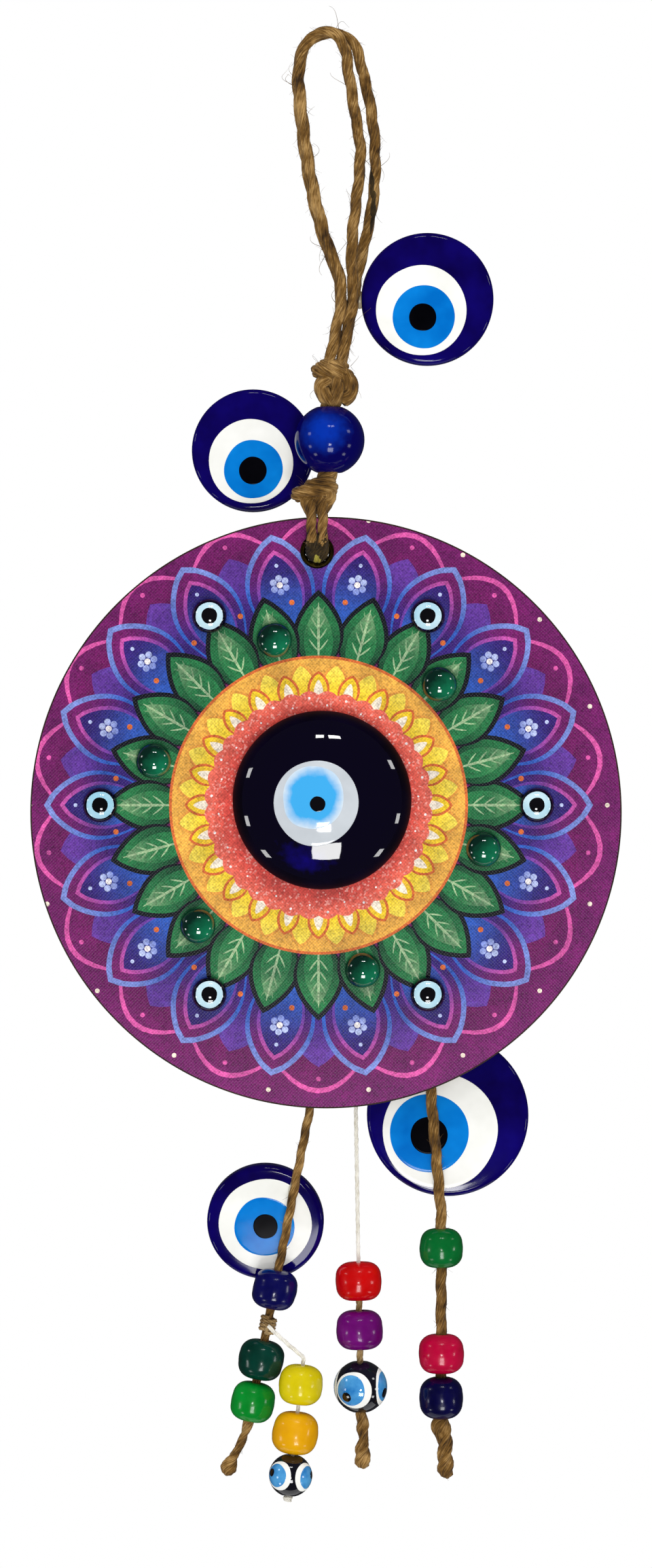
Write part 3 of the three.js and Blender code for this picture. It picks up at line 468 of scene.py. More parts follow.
EYE_MILK = glass_paint("eye_milk", rgb(190, 196, 202), rgb(208, 214, 220))
EYE_SKY = run_glass_paint("eye_sky", rgb(64, 172, 236), rgb(214, 228, 240))
EYE_PALE = glass_paint("eye_pale", rgb(156, 208, 230), rgb(214, 240, 248))
EYE_BLACK = glass_paint("eye_black", rgb(3, 3, 6), rgb(10, 9, 14), 0.05)
LAMP_BLACK = glass_paint("lampwork_black", rgb(6, 6, 12), rgb(22, 22, 34))
LAMP_BLUE = glass_paint("lampwork_blue", rgb(36, 116, 186), rgb(92, 172, 226), swirl=220.0)
PRINT = print_paint("print_ink", False)
GLITTER = print_paint("print_glitter", True)
BOARD = board_paint("board_back", rgb(112, 78, 46), rgb(176, 136, 92), 0.85)
BURNT = board_paint("board_edge", rgb(20, 12, 8), rgb(70, 44, 26), 0.7)
BRASS_AGE = (420.0, 4.0, 0.6)
BRASS = patchy_paint("brass", (0.35, 0.7), (rgb(16, 12, 6), rgb(72, 58, 20)), BRASS_AGE, (1600.0, 2.0),
                     (0.15, 0.0001), (BRASS_AGE, 0.5, 0.3), Metallic=1.0)
GLUE = patchy_paint("glue", (0.3, 0.7), (rgb(206, 188, 150), rgb(232, 220, 192)), (300.0,), (500.0, 2.0),
                    (0.3, 0.0004), Roughness=0.25, IOR=1.47, Transmission_Weight=0.3)


# Shapes

CREASE = math.radians(50)


class Shape:
    """Vertices in millimetres and faces, each with a paint number and a UV pair for each corner."""

    def __init__(self):
        self.verts = []
        self.faces = []
        self.paints = []
        self.uvs = []

    def add(self, verts, faces, paint=0, uvs=None):
        base = len(self.verts)
        self.verts += [Vector(v) for v in verts]
        self.faces += [[base + i for i in face] for face in faces]
        self.paints += [paint] * len(faces)
        self.uvs += uvs or [[(0.0, 0.0)] * len(face) for face in faces]


def add_object(name, data):
    made = bpy.data.objects.new(name, data)
    bpy.context.scene.collection.objects.link(made)
    return made


def face_out(mesh, merge=False):
    """Turns a mesh's faces outwards, after making one of points that share a place if merge is set."""
    work = bmesh.new()
    work.from_mesh(mesh)
    if merge:
        bmesh.ops.remove_doubles(work, verts=work.verts, dist=1e-6)
    bmesh.ops.recalc_face_normals(work, faces=work.faces)
    work.to_mesh(mesh)
    work.free()


def piece(name, shape, materials, slot, body=None, nodes=()):
    """Makes a shape into an object that rides on a body and stands for some CAD nodes."""
    mesh = bpy.data.meshes.new(name)
    mesh.from_pydata([tuple(v * MM) for v in shape.verts], [], shape.faces)
    for material in materials:
        mesh.materials.append(material)
    mesh.polygons.foreach_set("material_index", shape.paints)
    corners = [c for face in shape.uvs for corner in face for c in corner]
    mesh.uv_layers.new(name="UVMap").data.foreach_set("uv", corners)
    face_out(mesh)
    mesh.polygons.foreach_set("use_smooth", [True] * len(mesh.polygons))
    mesh.set_sharp_from_angle(angle=CREASE)
    made = add_object(name, mesh)
    if nodes:
        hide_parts(*nodes)
    if body:
        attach(made, body)
    return made


def grid_faces(rows, columns, wrap_rows=False):
    """Quads between rows of points that each close on themselves, with a UV running round each row."""
    faces, uvs = [], []
    for i in range(rows if wrap_rows else rows - 1):
        for j in range(columns):
            k, after = (j + 1) % columns, (i + 1) % rows
            faces.append([i * columns + j, i * columns + k, after * columns + k, after * columns + j])
            left, right = j / columns, (j + 1) / columns
            uvs.append([(left, i), (right, i), (right, i + 1), (left, i + 1)])
    return faces, uvs


def cap(faces, uvs, row, columns, tip):
    """Closes a row of a grid with triangles to one point."""
    for j in range(columns):
        faces.append([row * columns + j, row * columns + (j + 1) % columns, tip])
        uvs.append([(0.0, 0.0)] * 3)


def turned(shape, profile, matrix, sides, dent=0.0, seed=0.0):
    """A solid turned about the local Y axis, from (radius, y) pairs. It closes on itself or on the axis."""
    on_axis = profile[0][0] < 1e-6
    rings = profile[1:-1] if on_axis else profile
    verts = []
    for radius, y in rings:
        for x, z in circle(0, 0, radius, sides):
            grown = 1 + dent * noise.noise(Vector((x, y, z)) * 0.22 + Vector((seed, 0, 0))) / max(radius, 1)
            verts.append(matrix @ Vector((x * grown, y, z * grown)))
    faces, uvs = grid_faces(len(rings), sides, not on_axis)
    if on_axis:
        for row, pole in ((0, profile[0]), (len(rings) - 1, profile[-1])):
            verts.append(matrix @ Vector((0, pole[1], 0)))
            cap(faces, uvs, row, sides, len(verts) - 1)
    shape.add(verts, faces, 0, uvs)


def arc(center_r, center_y, radius, start, end, steps):
    """Points of an arc in a profile, with the angles in degrees."""
    angles = [math.radians(start + (end - start) * i / steps) for i in range(steps + 1)]
    return [(center_r + radius * math.cos(a), center_y + radius * math.sin(a)) for a in angles]


def drop(shape, surface, x, y, size, wobble, seed, lift, paint, count=72):
    """A drop of glass that has run a little, laid on a surface, which gives a point for (u, v, lift)."""
    levels = ((0.2, 1), (0.4, 1), (0.6, 1), (0.8, 1), (0.92, 1), (0.98, 1), (0.995, 0.85), (1, -0.4))
    outline = []
    for u, v in circle(0, 0, 1, count):
        reach = size * (1 + wobble * noise.noise(Vector((1.1 * u + seed, 1.1 * v, 0.37 * seed))))
        outline.append((reach * u, reach * v))
    verts = []
    for share, rise in levels:
        verts += [surface(x + u * share, y + v * share, lift * rise) for u, v in outline]
    faces, uvs = grid_faces(len(levels), count)
    uvs = [[(u, levels[int(v)][0]) for u, v in face] for face in uvs]
    for row, rise in ((0, lift), (len(levels) - 1, -2.5 * lift)):
        verts.append(surface(x, y, rise))
        cap(faces, uvs, row, count, len(verts) - 1)
    shape.add(verts, faces, paint, uvs)


def smooth_route(points, step):
    """Points a step apart on a centripetal curve through the given ones."""
    points = [Vector(p) for p in points]
    points = [points[0] * 2 - points[1], *points, points[-1] * 2 - points[-2]]

    def between(first, second, start, end, t):
        return first * ((end - t) / (end - start)) + second * ((t - start) / (end - start))

    dense = []
    for i in range(1, len(points) - 2):
        a, b, c, d = points[i - 1:i + 3]
        t1 = math.sqrt((b - a).length)
        t2 = t1 + math.sqrt((c - b).length)
        t3 = t2 + math.sqrt((d - c).length)
        for k in range(24):
            t = t1 + (t2 - t1) * k / 24
            ab = between(a, b, 0, t1, t)
            bc = between(b, c, t1, t2, t)
            cd = between(c, d, t2, t3, t)
            near, far = between(ab, bc, 0, t2, t), between(bc, cd, t1, t3, t)
            dense.append(between(near, far, t1, t2, t))
    dense.append(points[-2])
    run = [0.0]
    for a, b in zip(dense, dense[1:]):
        run.append(run[-1] + (b - a).length)
    count = max(2, round(run[-1] / step))
    line, at = [], 0
    for k in range(count + 1):
        want = run[-1] * k / count
        while at < len(run) - 2 and run[at + 1] < want:
            at += 1
        share = (want - run[at]) / max(1e-9, run[at + 1] - run[at])
        line.append(dense[at].lerp(dense[at + 1], share))
    return line


def length_of(line):
    return sum((b - a).length for a, b in zip(line, line[1:]))


def carried_frames(line):
    """A direction and two square to it at each point, turning as little as possible along the line."""
    ends = [line[0], *line, line[-1]]
    ways = [(after - before).normalized() for before, after in zip(ends, ends[2:])]
    across = Vector((0, -1, 0))
    if abs(ways[0].dot(across)) > 0.9:
        across = Vector((1, 0, 0))
    across = (across - ways[0] * across.dot(ways[0])).normalized()
    frames = []
    for i, way in enumerate(ways):
        if i:
            across = ways[i - 1].rotation_difference(way) @ across
            across = (across - way * across.dot(way)).normalized()
        frames.append((way, across, way.cross(across)))
    return frames


def around(across, aside, angle):
    return across * math.cos(angle) + aside * math.sin(angle)


PLY_SHARE = {2: 0.66, 3: 0.58, 4: 0.5, 5: 0.45}  # radius of a ply as a share of the rope's, by their number


def rope(shape, line, radius, plies, pitch, seed, sides=8, paint=0):
    """Twisted plies round a line. radius is a number, or a function of the share of the rope's length."""
    last = len(line) - 1
    run = 0.0
    rows = [[] for _ in range(plies)]
    marks = []
    for i, (spot, (_, across, aside)) in enumerate(zip(line, carried_frames(line))):
        run += (spot - line[i - 1]).length if i else 0.0
        marks.append(run)
        whole = radius(i / last) if callable(radius) else radius
        for ply in range(plies):
            uneven = noise.noise(Vector((run * 0.16, ply * 7.3, seed)))
            small = whole * PLY_SHARE[plies] * (1 + 0.1 * uneven)
            turn = TURN * (run / pitch + ply / plies) + 0.35 * uneven
            out, side = around(across, aside, turn), around(aside, -across, turn)
            middle = spot + out * (whole - small)
            for j in range(sides):
                lump = 1 + 0.07 * noise.noise(Vector((run * 0.9, 2.1 * j + 9 * ply, seed + 4)))
                rows[ply].append(middle + around(-out, side, TURN * j / sides) * small * lump)
    for ply in range(plies):
        faces, uvs = grid_faces(len(line), sides)
        uvs = [[(u + ply * 0.37, marks[min(int(v), last)]) for u, v in face] for face in uvs]
        for ring in (0, last):
            faces.append([ring * sides + j for j in range(sides)])
            uvs.append([(0.5, marks[ring])] * sides)
        shape.add(rows[ply], faces, paint, uvs)


def hair(shape, points, radius):
    """One stray fibre: a thin three-sided tube that tapers to its tip."""
    verts = []
    for i, (spot, (_, across, aside)) in enumerate(zip(points, carried_frames(points))):
        thin = radius * (1 - 0.65 * i / (len(points) - 1))
        verts += [spot + around(across, aside, TURN * j / 3) * thin for j in range(3)]
    faces, uvs = grid_faces(len(points), 3)
    end = 3 * len(points)
    faces += [[0, 1, 2], [end - 3, end - 2, end - 1]]
    uvs += [[(0.0, 0.0)] * 3] * 2
    shape.add(verts, faces, 0, uvs)


def fibre_roots(draw, line, count):
    """Random places on a cord: the point, a way out of the cord, one along it, and one square to both."""
    frames = carried_frames(line)
    for _ in range(count):
        i = draw.randrange(1, len(line) - 1)
        way, across, aside = frames[i]
        out = around(across, aside, draw.uniform(0, TURN))
        yield line[i], out, way * draw.choice((-1, 1)), way.cross(out)


def stray_fibres(shape, line, radius, per_mm, reach, seed):
    """Fibres that stand out from a rope's surface and curl."""
    draw = random.Random(seed)
    for spot, out, along, square in fibre_roots(draw, line, int(length_of(line) * per_mm)):
        curl = square * draw.uniform(-0.8, 0.8)
        size = reach * draw.uniform(0.35, 1.0) ** 1.6
        lean = draw.uniform(0.25, 0.9)
        points = []
        for t in (0, 0.2, 0.4, 0.6, 0.8, 1):
            rise = radius * 0.82 + size * (lean * t + 0.35 * t * t) * 0.6
            points.append(spot + out * rise + along * size * (t - 0.25 * t * t) + curl * size * t * t * 0.6)
        hair(shape, points, draw.uniform(0.035, 0.06))


def long_hairs(shape, line, radius, count, reach, seed):
    """A few long fibres that have come loose from a cord and curl away from it."""
    draw = random.Random(seed)
    for spot, out, along, square in fibre_roots(draw, line, count):
        size, bend = reach * draw.uniform(0.5, 1.0), draw.uniform(0.8, 2.6)
        points = []
        for k in range(9):
            t = k / 8
            rise = radius * 0.8 + size * 0.5 * math.sin(bend * t)
            curl = square * size * 0.25 * math.sin(2.2 * t * bend)
            points.append(spot + out * rise + along * size * 0.7 * t + curl)
        hair(shape, points, draw.uniform(0.05, 0.085))


def frayed_end(shape, spot, way, radius, count, reach, seed):
    """Loose fibres where a cord has been cut."""
    draw = random.Random(seed)
    across = way.orthogonal().normalized()
    for _ in range(count):
        out = around(across, way.cross(across), draw.uniform(0, TURN))
        share = math.sqrt(draw.random())
        start = spot + out * radius * share - way * 0.8
        splay = draw.uniform(0.1, 0.5) * share
        size = reach * draw.uniform(0.45, 1.0)
        points = [start + way * (0.8 + size) * t + out * splay * size * t * t for t in (0, 0.35, 0.7, 1)]
        hair(shape, points, draw.uniform(0.09, 0.17))


def knot(shape, matrix, bands, lobes, seed):
    """A drawn-up knot: bands go round it, and lobes bulge out from under them at the front and the back."""
    for number, (lift, tilt, shift, wide, deep, thick) in enumerate(bands):
        points = []
        for k in range(25):
            a = TURN * (k / 24 + 0.2)
            across = math.cos(a)
            points.append(matrix @ Vector((shift + wide * across, deep * math.sin(a), lift + tilt * across)))
        rope(shape, smooth_route(points, 0.45), thick, plies=5, pitch=thick * 11, seed=seed + number)
    for number, (thick, *points) in enumerate(lobes):
        for side in (1, -1):
            line = smooth_route([matrix @ Vector((x, y * side, z)) for x, y, z in points], 0.45)
            rope(shape, line, thick, plies=5, pitch=thick * 11, seed=seed + 3 + number * side)


# Camera, light and floor

def make_camera():
    data = bpy.data.cameras.new("camera")
    data.sensor_width = SENSOR
    data.lens = SENSOR * CAMERA_DISTANCE / PICTURE_HEIGHT
    camera = add_object("camera", data)
    camera.location = (0, -CAMERA_DISTANCE, CAMERA_HEIGHT)
    camera.rotation_euler = (math.pi / 2, 0, 0)
    bpy.context.scene.camera = camera


def lamp(name, place, size, power, mirrored):
    """An area light that faces the disc. A fill light isn't mirrored in the glass."""
    data = bpy.data.lights.new(name, "AREA")
    data.shape = "RECTANGLE"
    data.size, data.size_y = size
    data.energy = power
    made = add_object(name, data)
    made.location = place
    made.visible_glossy = mirrored
    aim = Vector((0, 0, CAMERA_HEIGHT)) - Vector(place)
    made.rotation_euler = aim.to_track_quat("-Z", "Y").to_euler()


def make_studio():
    world = bpy.data.worlds.new("studio")
    bpy.context.scene.world = world
    world.use_nodes = True
    world.node_tree.nodes.clear()
    sky = Nodes(world.node_tree)
    path = sky.node("LightPath").outputs
    light = sky.mix(path["Is Glossy Ray"], SKY_LIGHT, SKY_MIRRORED)
    seen = sky.mix(path["Is Camera Ray"], light, 1.0)
    shade = sky.node("Background", Color=grey(1.0), Strength=seen)
    sky.node("OutputWorld", Surface=shade.outputs[0])
    bpy.context.scene.view_settings.view_transform = "Standard"
    for values in LAMPS:
        lamp(*values)
    side = SMALL_LAMP_REACH * math.sin(SMALL_LAMP_ANGLE)
    out = SMALL_LAMP_REACH * math.cos(SMALL_LAMP_ANGLE)
    for number, degrees in enumerate(SMALL_LAMPS, 1):
        x, z = polar(side, degrees)
        place = (x, -out, CAMERA_HEIGHT + z)
        lamp(f"small_lamp_{number}", place, SMALL_LAMP_SIZE, SMALL_LAMP_POWER, True)
    corners = ((-FLOOR_SIDE, FLOOR_NEAR), (FLOOR_SIDE, FLOOR_NEAR), (FLOOR_SIDE, FLOOR_FAR),
               (-FLOOR_SIDE, FLOOR_FAR))
    mesh = bpy.data.meshes.new("floor")
    mesh.from_pydata([(x, y, FLOOR_Z) for x, y in corners], [], [[0, 1, 2, 3]])
    mesh.materials.append(board_paint("floor", grey(0.86), grey(0.9), 0.8))
    add_object("floor", mesh)


# Hanging cord, knots and disc cord


def make_knot(name, center, bands, lobes, seed, stub, stub_seed, body):
    """A knot of jute, with the stub of cord that goes into the top bead."""
    shape = Shape()
    knot(shape, Matrix.Translation(center), bands, lobes, seed)
    rope(shape, smooth_route(stub, 0.5), STUB_RADIUS, plies=4, pitch=14.0, seed=stub_seed)
    piece(f"{name}_jute", shape, [JUTE], "jute", body, [name])


def make_hanging_cord():
    fuzz = Shape()
    for which, route, y, seed in (("front", LOOP_FRONT, -LOOP_APART, 3), ("back", LOOP_BACK, LOOP_APART, 8)):
        line = smooth_route([(x, y, z) for x, z in route], 0.5)
        shape = Shape()
        rope(shape, line, LOOP_CORD / 2, plies=3, pitch=24.0, seed=seed, sides=10)
        made = piece(f"loop_{which}_jute", shape, [JUTE], "jute", "hanging_cord", [f"hanging_loop_{which}"])
        length_of(line) * MM
        stray_fibres(fuzz, line, LOOP_CORD / 2, per_mm=1.8, reach=3.2, seed=seed)
        long_hairs(fuzz, line, LOOP_CORD / 2, count=14, reach=9.0, seed=20 + seed)
    make_knot("upper_knot", UPPER_KNOT, UPPER_KNOT_BANDS, UPPER_KNOT_LOBES, 5.0, UPPER_STUB, 2.0,
              "hanging_cord")
    core = smooth_route([UPPER_KNOT + Vector((0, 0, z)) for z in (5, 2, -1, -4)], 0.5)
    stray_fibres(fuzz, core, UPPER_KNOT_RADIUS, per_mm=4.0, reach=3.0, seed=71)
    long_hairs(fuzz, core, UPPER_KNOT_RADIUS, count=10, reach=6.0, seed=72)
    piece("hanging_cord_fibres", fuzz, [JUTE], "jute", "hanging_cord")
    # A dark ply painted as shadow along the right edge of the back loop
    shade_plies = Shape()

    def thickness(share):
        return SHADOW_PLY_TIP + SHADOW_PLY_SWELL * eased(4 * min(share, 1 - share))

    line = smooth_route([(x, SHADOW_PLY_Y, z) for x, z in SHADOW_PLY], 0.5)
    rope(shade_plies, line, thickness, plies=2, pitch=9.0, seed=41.0)
    piece("loop_back_shadow_ply", shade_plies, [SHADE_JUTE], "jute", "hanging_cord")


def upright(center):
    """Turns the local Y axis of a turned shape upright."""
    return Matrix.Translation(center) @ Matrix.Rotation(math.pi / 2, 4, "X")


def ball_profile(radius, bore, half):
    """Outside of a bored ball, then its bore."""
    end = math.asin(min(half / radius, math.sqrt(1 - (bore / radius) ** 2)))
    outside = arc(0, 0, radius, math.degrees(-end), math.degrees(end), 28)
    return [(bore, -half + 0.2), *outside, (bore, half - 0.2)]


def make_top_bead():
    shape = Shape()
    half = math.sqrt(TOP_BEAD_RADIUS ** 2 - (TOP_BEAD_BORE + BORE_LIP) ** 2)
    turned(shape, ball_profile(TOP_BEAD_RADIUS, TOP_BEAD_BORE, half), upright(TOP_BEAD), 56)
    piece("top_bead_glass", shape, [TOP_BLUE], "blue_glass", "top_bead", ["top_bead"])


def through_disc(front):
    """A route that goes on behind the disc as it came in front of it."""
    return smooth_route(front + [(x, -y, z) for x, y, z in reversed(front) if y], 0.35)


def make_disc_cord():
    fuzz = Shape()
    for side, knot_x, hole_x in LEGS:
        shape, shade_plies = Shape(), Shape()
        route = [(knot_x, y, z) for y, z in LEG_AT_KNOT] + [(hole_x, y, z) for y, z in LEG_AT_HOLE]
        line = through_disc(route)
        rope(shape, line, lambda share: LEG_CORD / 2 * (1.26 + 0.04 * math.cos(TURN * share)),
             plies=3, pitch=13.0, seed=knot_x, sides=9)
        stray_fibres(fuzz, line, LEG_CORD / 2, per_mm=1.2, reach=2.2, seed=31 + int(knot_x))
        # Painted shade: faces of the legs low in the eyelet take the dark jute
        for number, face in enumerate(shape.faces):
            spot = shape.verts[face[0]]
            if spot.z < SHADE_BELOW + SHADE_EDGE * noise.noise(spot * 1.2):
                shape.paints[number] = 1
        # Dark loose plies fill the eyelet as painted shade in its hole
        for degrees in LOOSE_PLIES[side]:
            x, z = (a + b for a, b in zip((EYELET_X, EYELET_Z), polar(LOOSE_PLY_RING, degrees)))
            loose = [(hole_x, -4.0, -125.5), (x, -3.4, -128.2), (x, -2.3, z + 0.6), (x, -1.0, z)]
            rope(shade_plies, through_disc(loose), LOOSE_PLY_RADIUS, plies=5, pitch=6.0, seed=4.0 + x, sides=7)
        # A pale ply painted as the glint at the bottom of the eyelet
        if side == "right":
            pale = smooth_route([(EYELET_X, y, z) for y, z in GLINT_PLY], 0.3)
            rope(shape, pale, GLINT_PLY_RADIUS, plies=3, pitch=9.0, seed=2.0, sides=7, paint=2)
        piece(f"disc_loop_{side}_jute", shape, [JUTE, SHADE_JUTE, GLINT_JUTE], "jute", "disc_cord",
              [f"disc_loop_{side}"])
        piece(f"disc_loop_{side}_painted_shade_plies", shade_plies, [SHADE_JUTE], "jute", "disc_cord")
    make_knot("lower_knot", LOWER_KNOT, LOWER_KNOT_BANDS, LOWER_KNOT_LOBES, 15.0, LOWER_STUB, 6.0,
              "disc_cord")
    core = smooth_route([LOWER_KNOT + Vector((0, 0, z)) for z in (3, 1, -1, -3)], 0.5)
    stray_fibres(fuzz, core, LOWER_KNOT_RADIUS, per_mm=5.0, reach=3.0, seed=77)
    piece("disc_cord_fibres", fuzz, [JUTE], "jute", "disc_cord")


# Glass eyes and stones

def run_frame(number):
    strand = STRANDS[number]
    return Matrix.Translation(strand.start) @ Matrix.Rotation(strand.angle, 4, "Y")


def make_nazar(which, seed):
    body, center, radius, thickness, crown, *drops = NAZARS[which]
    place = Matrix.Translation(center)
    if body == "strand_1":
        place = run_frame(1) @ place @ Matrix.Rotation(NAZAR_TILT, 4, "X")
    flat = radius - FRONT_ROUND

    def surface(u, v, lift):
        share = min(1.0, math.hypot(u, v) / flat)
        return place @ Vector((u, -crown * (1 - share * share) - lift, v))

    face = [(flat * k / 12, -crown * (1 - (k / 12) ** 2)) for k in range(12)]
    front = arc(flat, FRONT_ROUND, FRONT_ROUND, -90, 0, 8)
    back = arc(radius - BACK_ROUND, thickness - BACK_ROUND, BACK_ROUND, 0, 90, 5)
    shape = Shape()
    turned(shape, [*face, *front, *back, (0, thickness)], place, 96)
    for paint, (x, z, size) in enumerate(drops, 1):
        drop(shape, surface, x, z, size, 0.035, seed + 3.1 * paint, 0.05 + 0.05 * paint, paint)
    paints = [COBALT, EYE_WHITE, EYE_BLUE, PUPIL_BLACK]
    piece(f"nazar_{which}_glass", shape, paints, "cobalt_glass", body, [f"nazar_{which}"])


def make_dome(node, center, sizes, paints, drops, slot, wobble, ground=None):
    """A glass dome on the disc, with round drops of other colours in it. ground is the share of its radius
    where its edge, in the last paint, is ground matt."""
    place = Matrix.Translation((center[0], PRINT_FRONT, center[1]))
    radius, height, foot = sizes
    rise = height - foot

    def surface(u, v, lift):
        share = min(0.999, math.hypot(u, v) / radius)
        return place @ Vector((u, -foot - rise * math.sqrt(1 - share * share) - lift, v))

    crown = [(radius * math.cos(a), -foot - rise * math.sin(a))
             for a in (math.pi / 2 * (1 - k / 20) for k in range(21))]
    crown[0] = (0, crown[0][1])
    edge = [(radius, -0.25), (radius - 0.25, 0.05), (0, 0.05)]
    shape = Shape()
    turned(shape, crown + edge, place, 80 if radius > 10 else 40)
    if ground:
        for number, face in enumerate(shape.faces):
            corners = [shape.verts[i] for i in face]
            if min(math.hypot(v.x - center[0], v.z - center[1]) for v in corners) > ground * radius:
                shape.paints[number] = len(paints) - 1
    for paint, (x, z, size) in enumerate(drops, 1):
        seed = 2.0 + paint + center[0] * 0.21
        drop(shape, surface, x, z, size, wobble[paint - 1], seed, 0.03 + 0.03 * paint, paint)
    piece(f"{node}_glass", shape, paints, slot, "disc", [node])


def on_print(radius, degrees):
    x, z = polar(radius, degrees)
    return (PRINT_X + x, PRINT_Z + z)


def make_stones():
    make_dome("center_eye", CENTER_EYE_PLACE, CENTER_EYE,
              [NIGHT, EYE_MILK, EYE_SKY, EYE_BLACK, GROUND_NIGHT], CENTER_EYE_DROPS, "night_glass",
              (0.03, 0.09, 0.05), CENTER_EYE_GROUND)
    for i in range(6):
        make_dome(f"eye_stone_{i + 1}", on_print(EYE_STONE_RING, 60 * i), EYE_STONE,
                  [NIGHT, EYE_PALE, EYE_BLACK], EYE_STONE_DROPS, "eye_bead_glass", (0.05, 0.08))
        place = on_print(GREEN_STONE_RING, GREEN_STONE_START + 60 * i)
        make_dome(f"green_stone_{i + 1}", place, GREEN_STONE, [EMERALD], (), "green_glass", ())


# Beads on the strands

def barrel_profile(radius, bore, half):
    shoulder = half * 0.72
    top = arc(radius - shoulder, half - shoulder, shoulder, 0, 90, 9)
    top += [(bore + BARREL_LIP, half), (bore, half - BARREL_LIP)]
    foot = [(r, -y) for r, y in reversed(top)]
    side = [(radius + BARREL_CROWN * (1 - (k / 3) ** 2), k / 3 * (half - shoulder)) for k in range(-2, 3)]
    return foot + side + top


def eye_bead(shape, place, radius, spots, drops, seed):
    """Round drops of white, blue and black glass on a black ball."""
    for k, (round_from_front, up, mirror) in enumerate(spots):
        a, e = math.radians(round_from_front), math.radians(up)
        out = Vector((math.sin(a) * math.cos(e), math.sin(e), math.cos(a) * math.cos(e)))
        side = Vector((0, 1, 0)).cross(out).normalized()
        rise = out.cross(side)

        def surface(u, v, lift):
            reach = math.hypot(u, v)
            way = (side * u + rise * v) / max(reach, 1e-9)
            return place @ (around(out, way, reach / radius) * (radius + lift))

        for paint, (x, y, size) in enumerate(drops, 1):
            drop(shape, surface, mirror * x * radius, y * radius, size * radius, 0.06, seed + 4 * k + paint,
                 0.03 + 0.04 * paint, paint, 48)


def make_beads(number):
    strand = STRANDS[number]
    _, inside = INNER_JUTE.get(number, (0, strand.cord / 2))
    made = []
    for colour, down, diameter, height in strand.beads:
        name = f"bead_{number}_{colour}"
        place = run_frame(number) @ upright((0, 0, -down))
        shape = Shape()
        sizes = diameter / 2, inside + BORE_PLAY, height / 2
        seed = 7.0 * number + down
        if name in EYE_BEADS:
            turned(shape, ball_profile(*sizes), place, 48)
            eye_bead(shape, place, diameter / 2, *EYE_BEADS[name], seed)
            paints, slot = [LAMP_BLACK, EYE_WHITE, LAMP_BLUE, EYE_BLACK], "eye_bead_glass"
        else:
            turned(shape, barrel_profile(*sizes), place, 48, BARREL_DENT, seed)
            slot, deep, bright = BEAD_COLOURS[name]
            paints = [plastic_paint(slot, rgb(*deep), rgb(*bright))]
        made.append(piece(f"{name}_turned", shape, paints, slot, name, [name]))
    return made


# Cords of the strands

def down_run(number, distance):
    return run_frame(number) @ Vector((0, 0, -distance))


def make_tail(number):
    foot, lean = STRANDS[number].foot, math.radians(STRANDS[number].lean)
    place = run_frame(number) @ Matrix.Translation((0, 0, -foot)) @ Matrix.Rotation(lean, 4, "Y")
    shape = Shape()

    def at(down, x=0.0, y=0.0):
        return place @ Vector((x, y, -down))

    if number == 2:
        knot(shape, place @ Matrix.Translation((0, 0, -0.85)), TIE_KNOT_BANDS, (), 3.0)
        return shape
    plies, sizes = TAILS[number]
    end = sizes[-1][0]

    def thickness(share):
        """Radius of the tail at a share of the way from above the bead's foot to the cut end."""
        down = -TAIL_HIDDEN + share * (end + TAIL_HIDDEN)
        for (a, first), (b, second) in zip(sizes, sizes[1:]):
            if down <= b:
                return first + (second - first) * eased((down - a) / (b - a))
        return sizes[-1][1]

    line = smooth_route([down_run(number, foot - TAIL_HIDDEN), down_run(number, foot - 0.6),
                         at(end * 0.4, 0.3), at(end * 0.75, -0.2), at(end)], 0.25)
    rope(shape, line, thickness, plies, pitch=13.0, seed=number + 20.0, sides=10)
    if number == 4:
        fold = smooth_route([at(*spot) for spot in TAIL_4_FOLD], 0.3)
        rope(shape, fold, TAIL_4_FOLD_RADIUS, plies=3, pitch=12.0, seed=31.0, sides=9)
    way = (place.to_3x3() @ Vector((0, 0, -1))).normalized()
    frayed_end(shape, at(end - 1.6), way, radius=1.0, count=22, reach=1.4, seed=60 + number)
    stray_fibres(shape, line, sizes[0][1], per_mm=2.0, reach=2.2, seed=80 + number)
    return shape


def strand_line(number):
    """The cord from its glued upper end to below the last bead."""
    start, cord, foot = Vector(STRANDS[number].start), STRANDS[number].cord, STRANDS[number].foot
    if number == 2:
        points = [BRANCH_HINGE, BRANCH_HINGE.lerp(start, 0.6), start, down_run(2, cord)]
    elif number == 4:
        up = (STRAND_4_HINGE - start).normalized()
        points = [STRAND_4_HINGE + up * STRAND_4_ROOT, STRAND_4_HINGE + up * 12, STRAND_4_HINGE,
                  STRAND_4_HINGE.lerp(start, 0.6), start, down_run(4, cord)]
    else:
        points = [down_run(number, down) for down in (-ROOT_LENGTH, -9, 0)]
    points += [down_run(number, foot / 2), down_run(number, foot + 0.6)]
    return smooth_route(points, 0.5 if cord > 2 else 0.3)


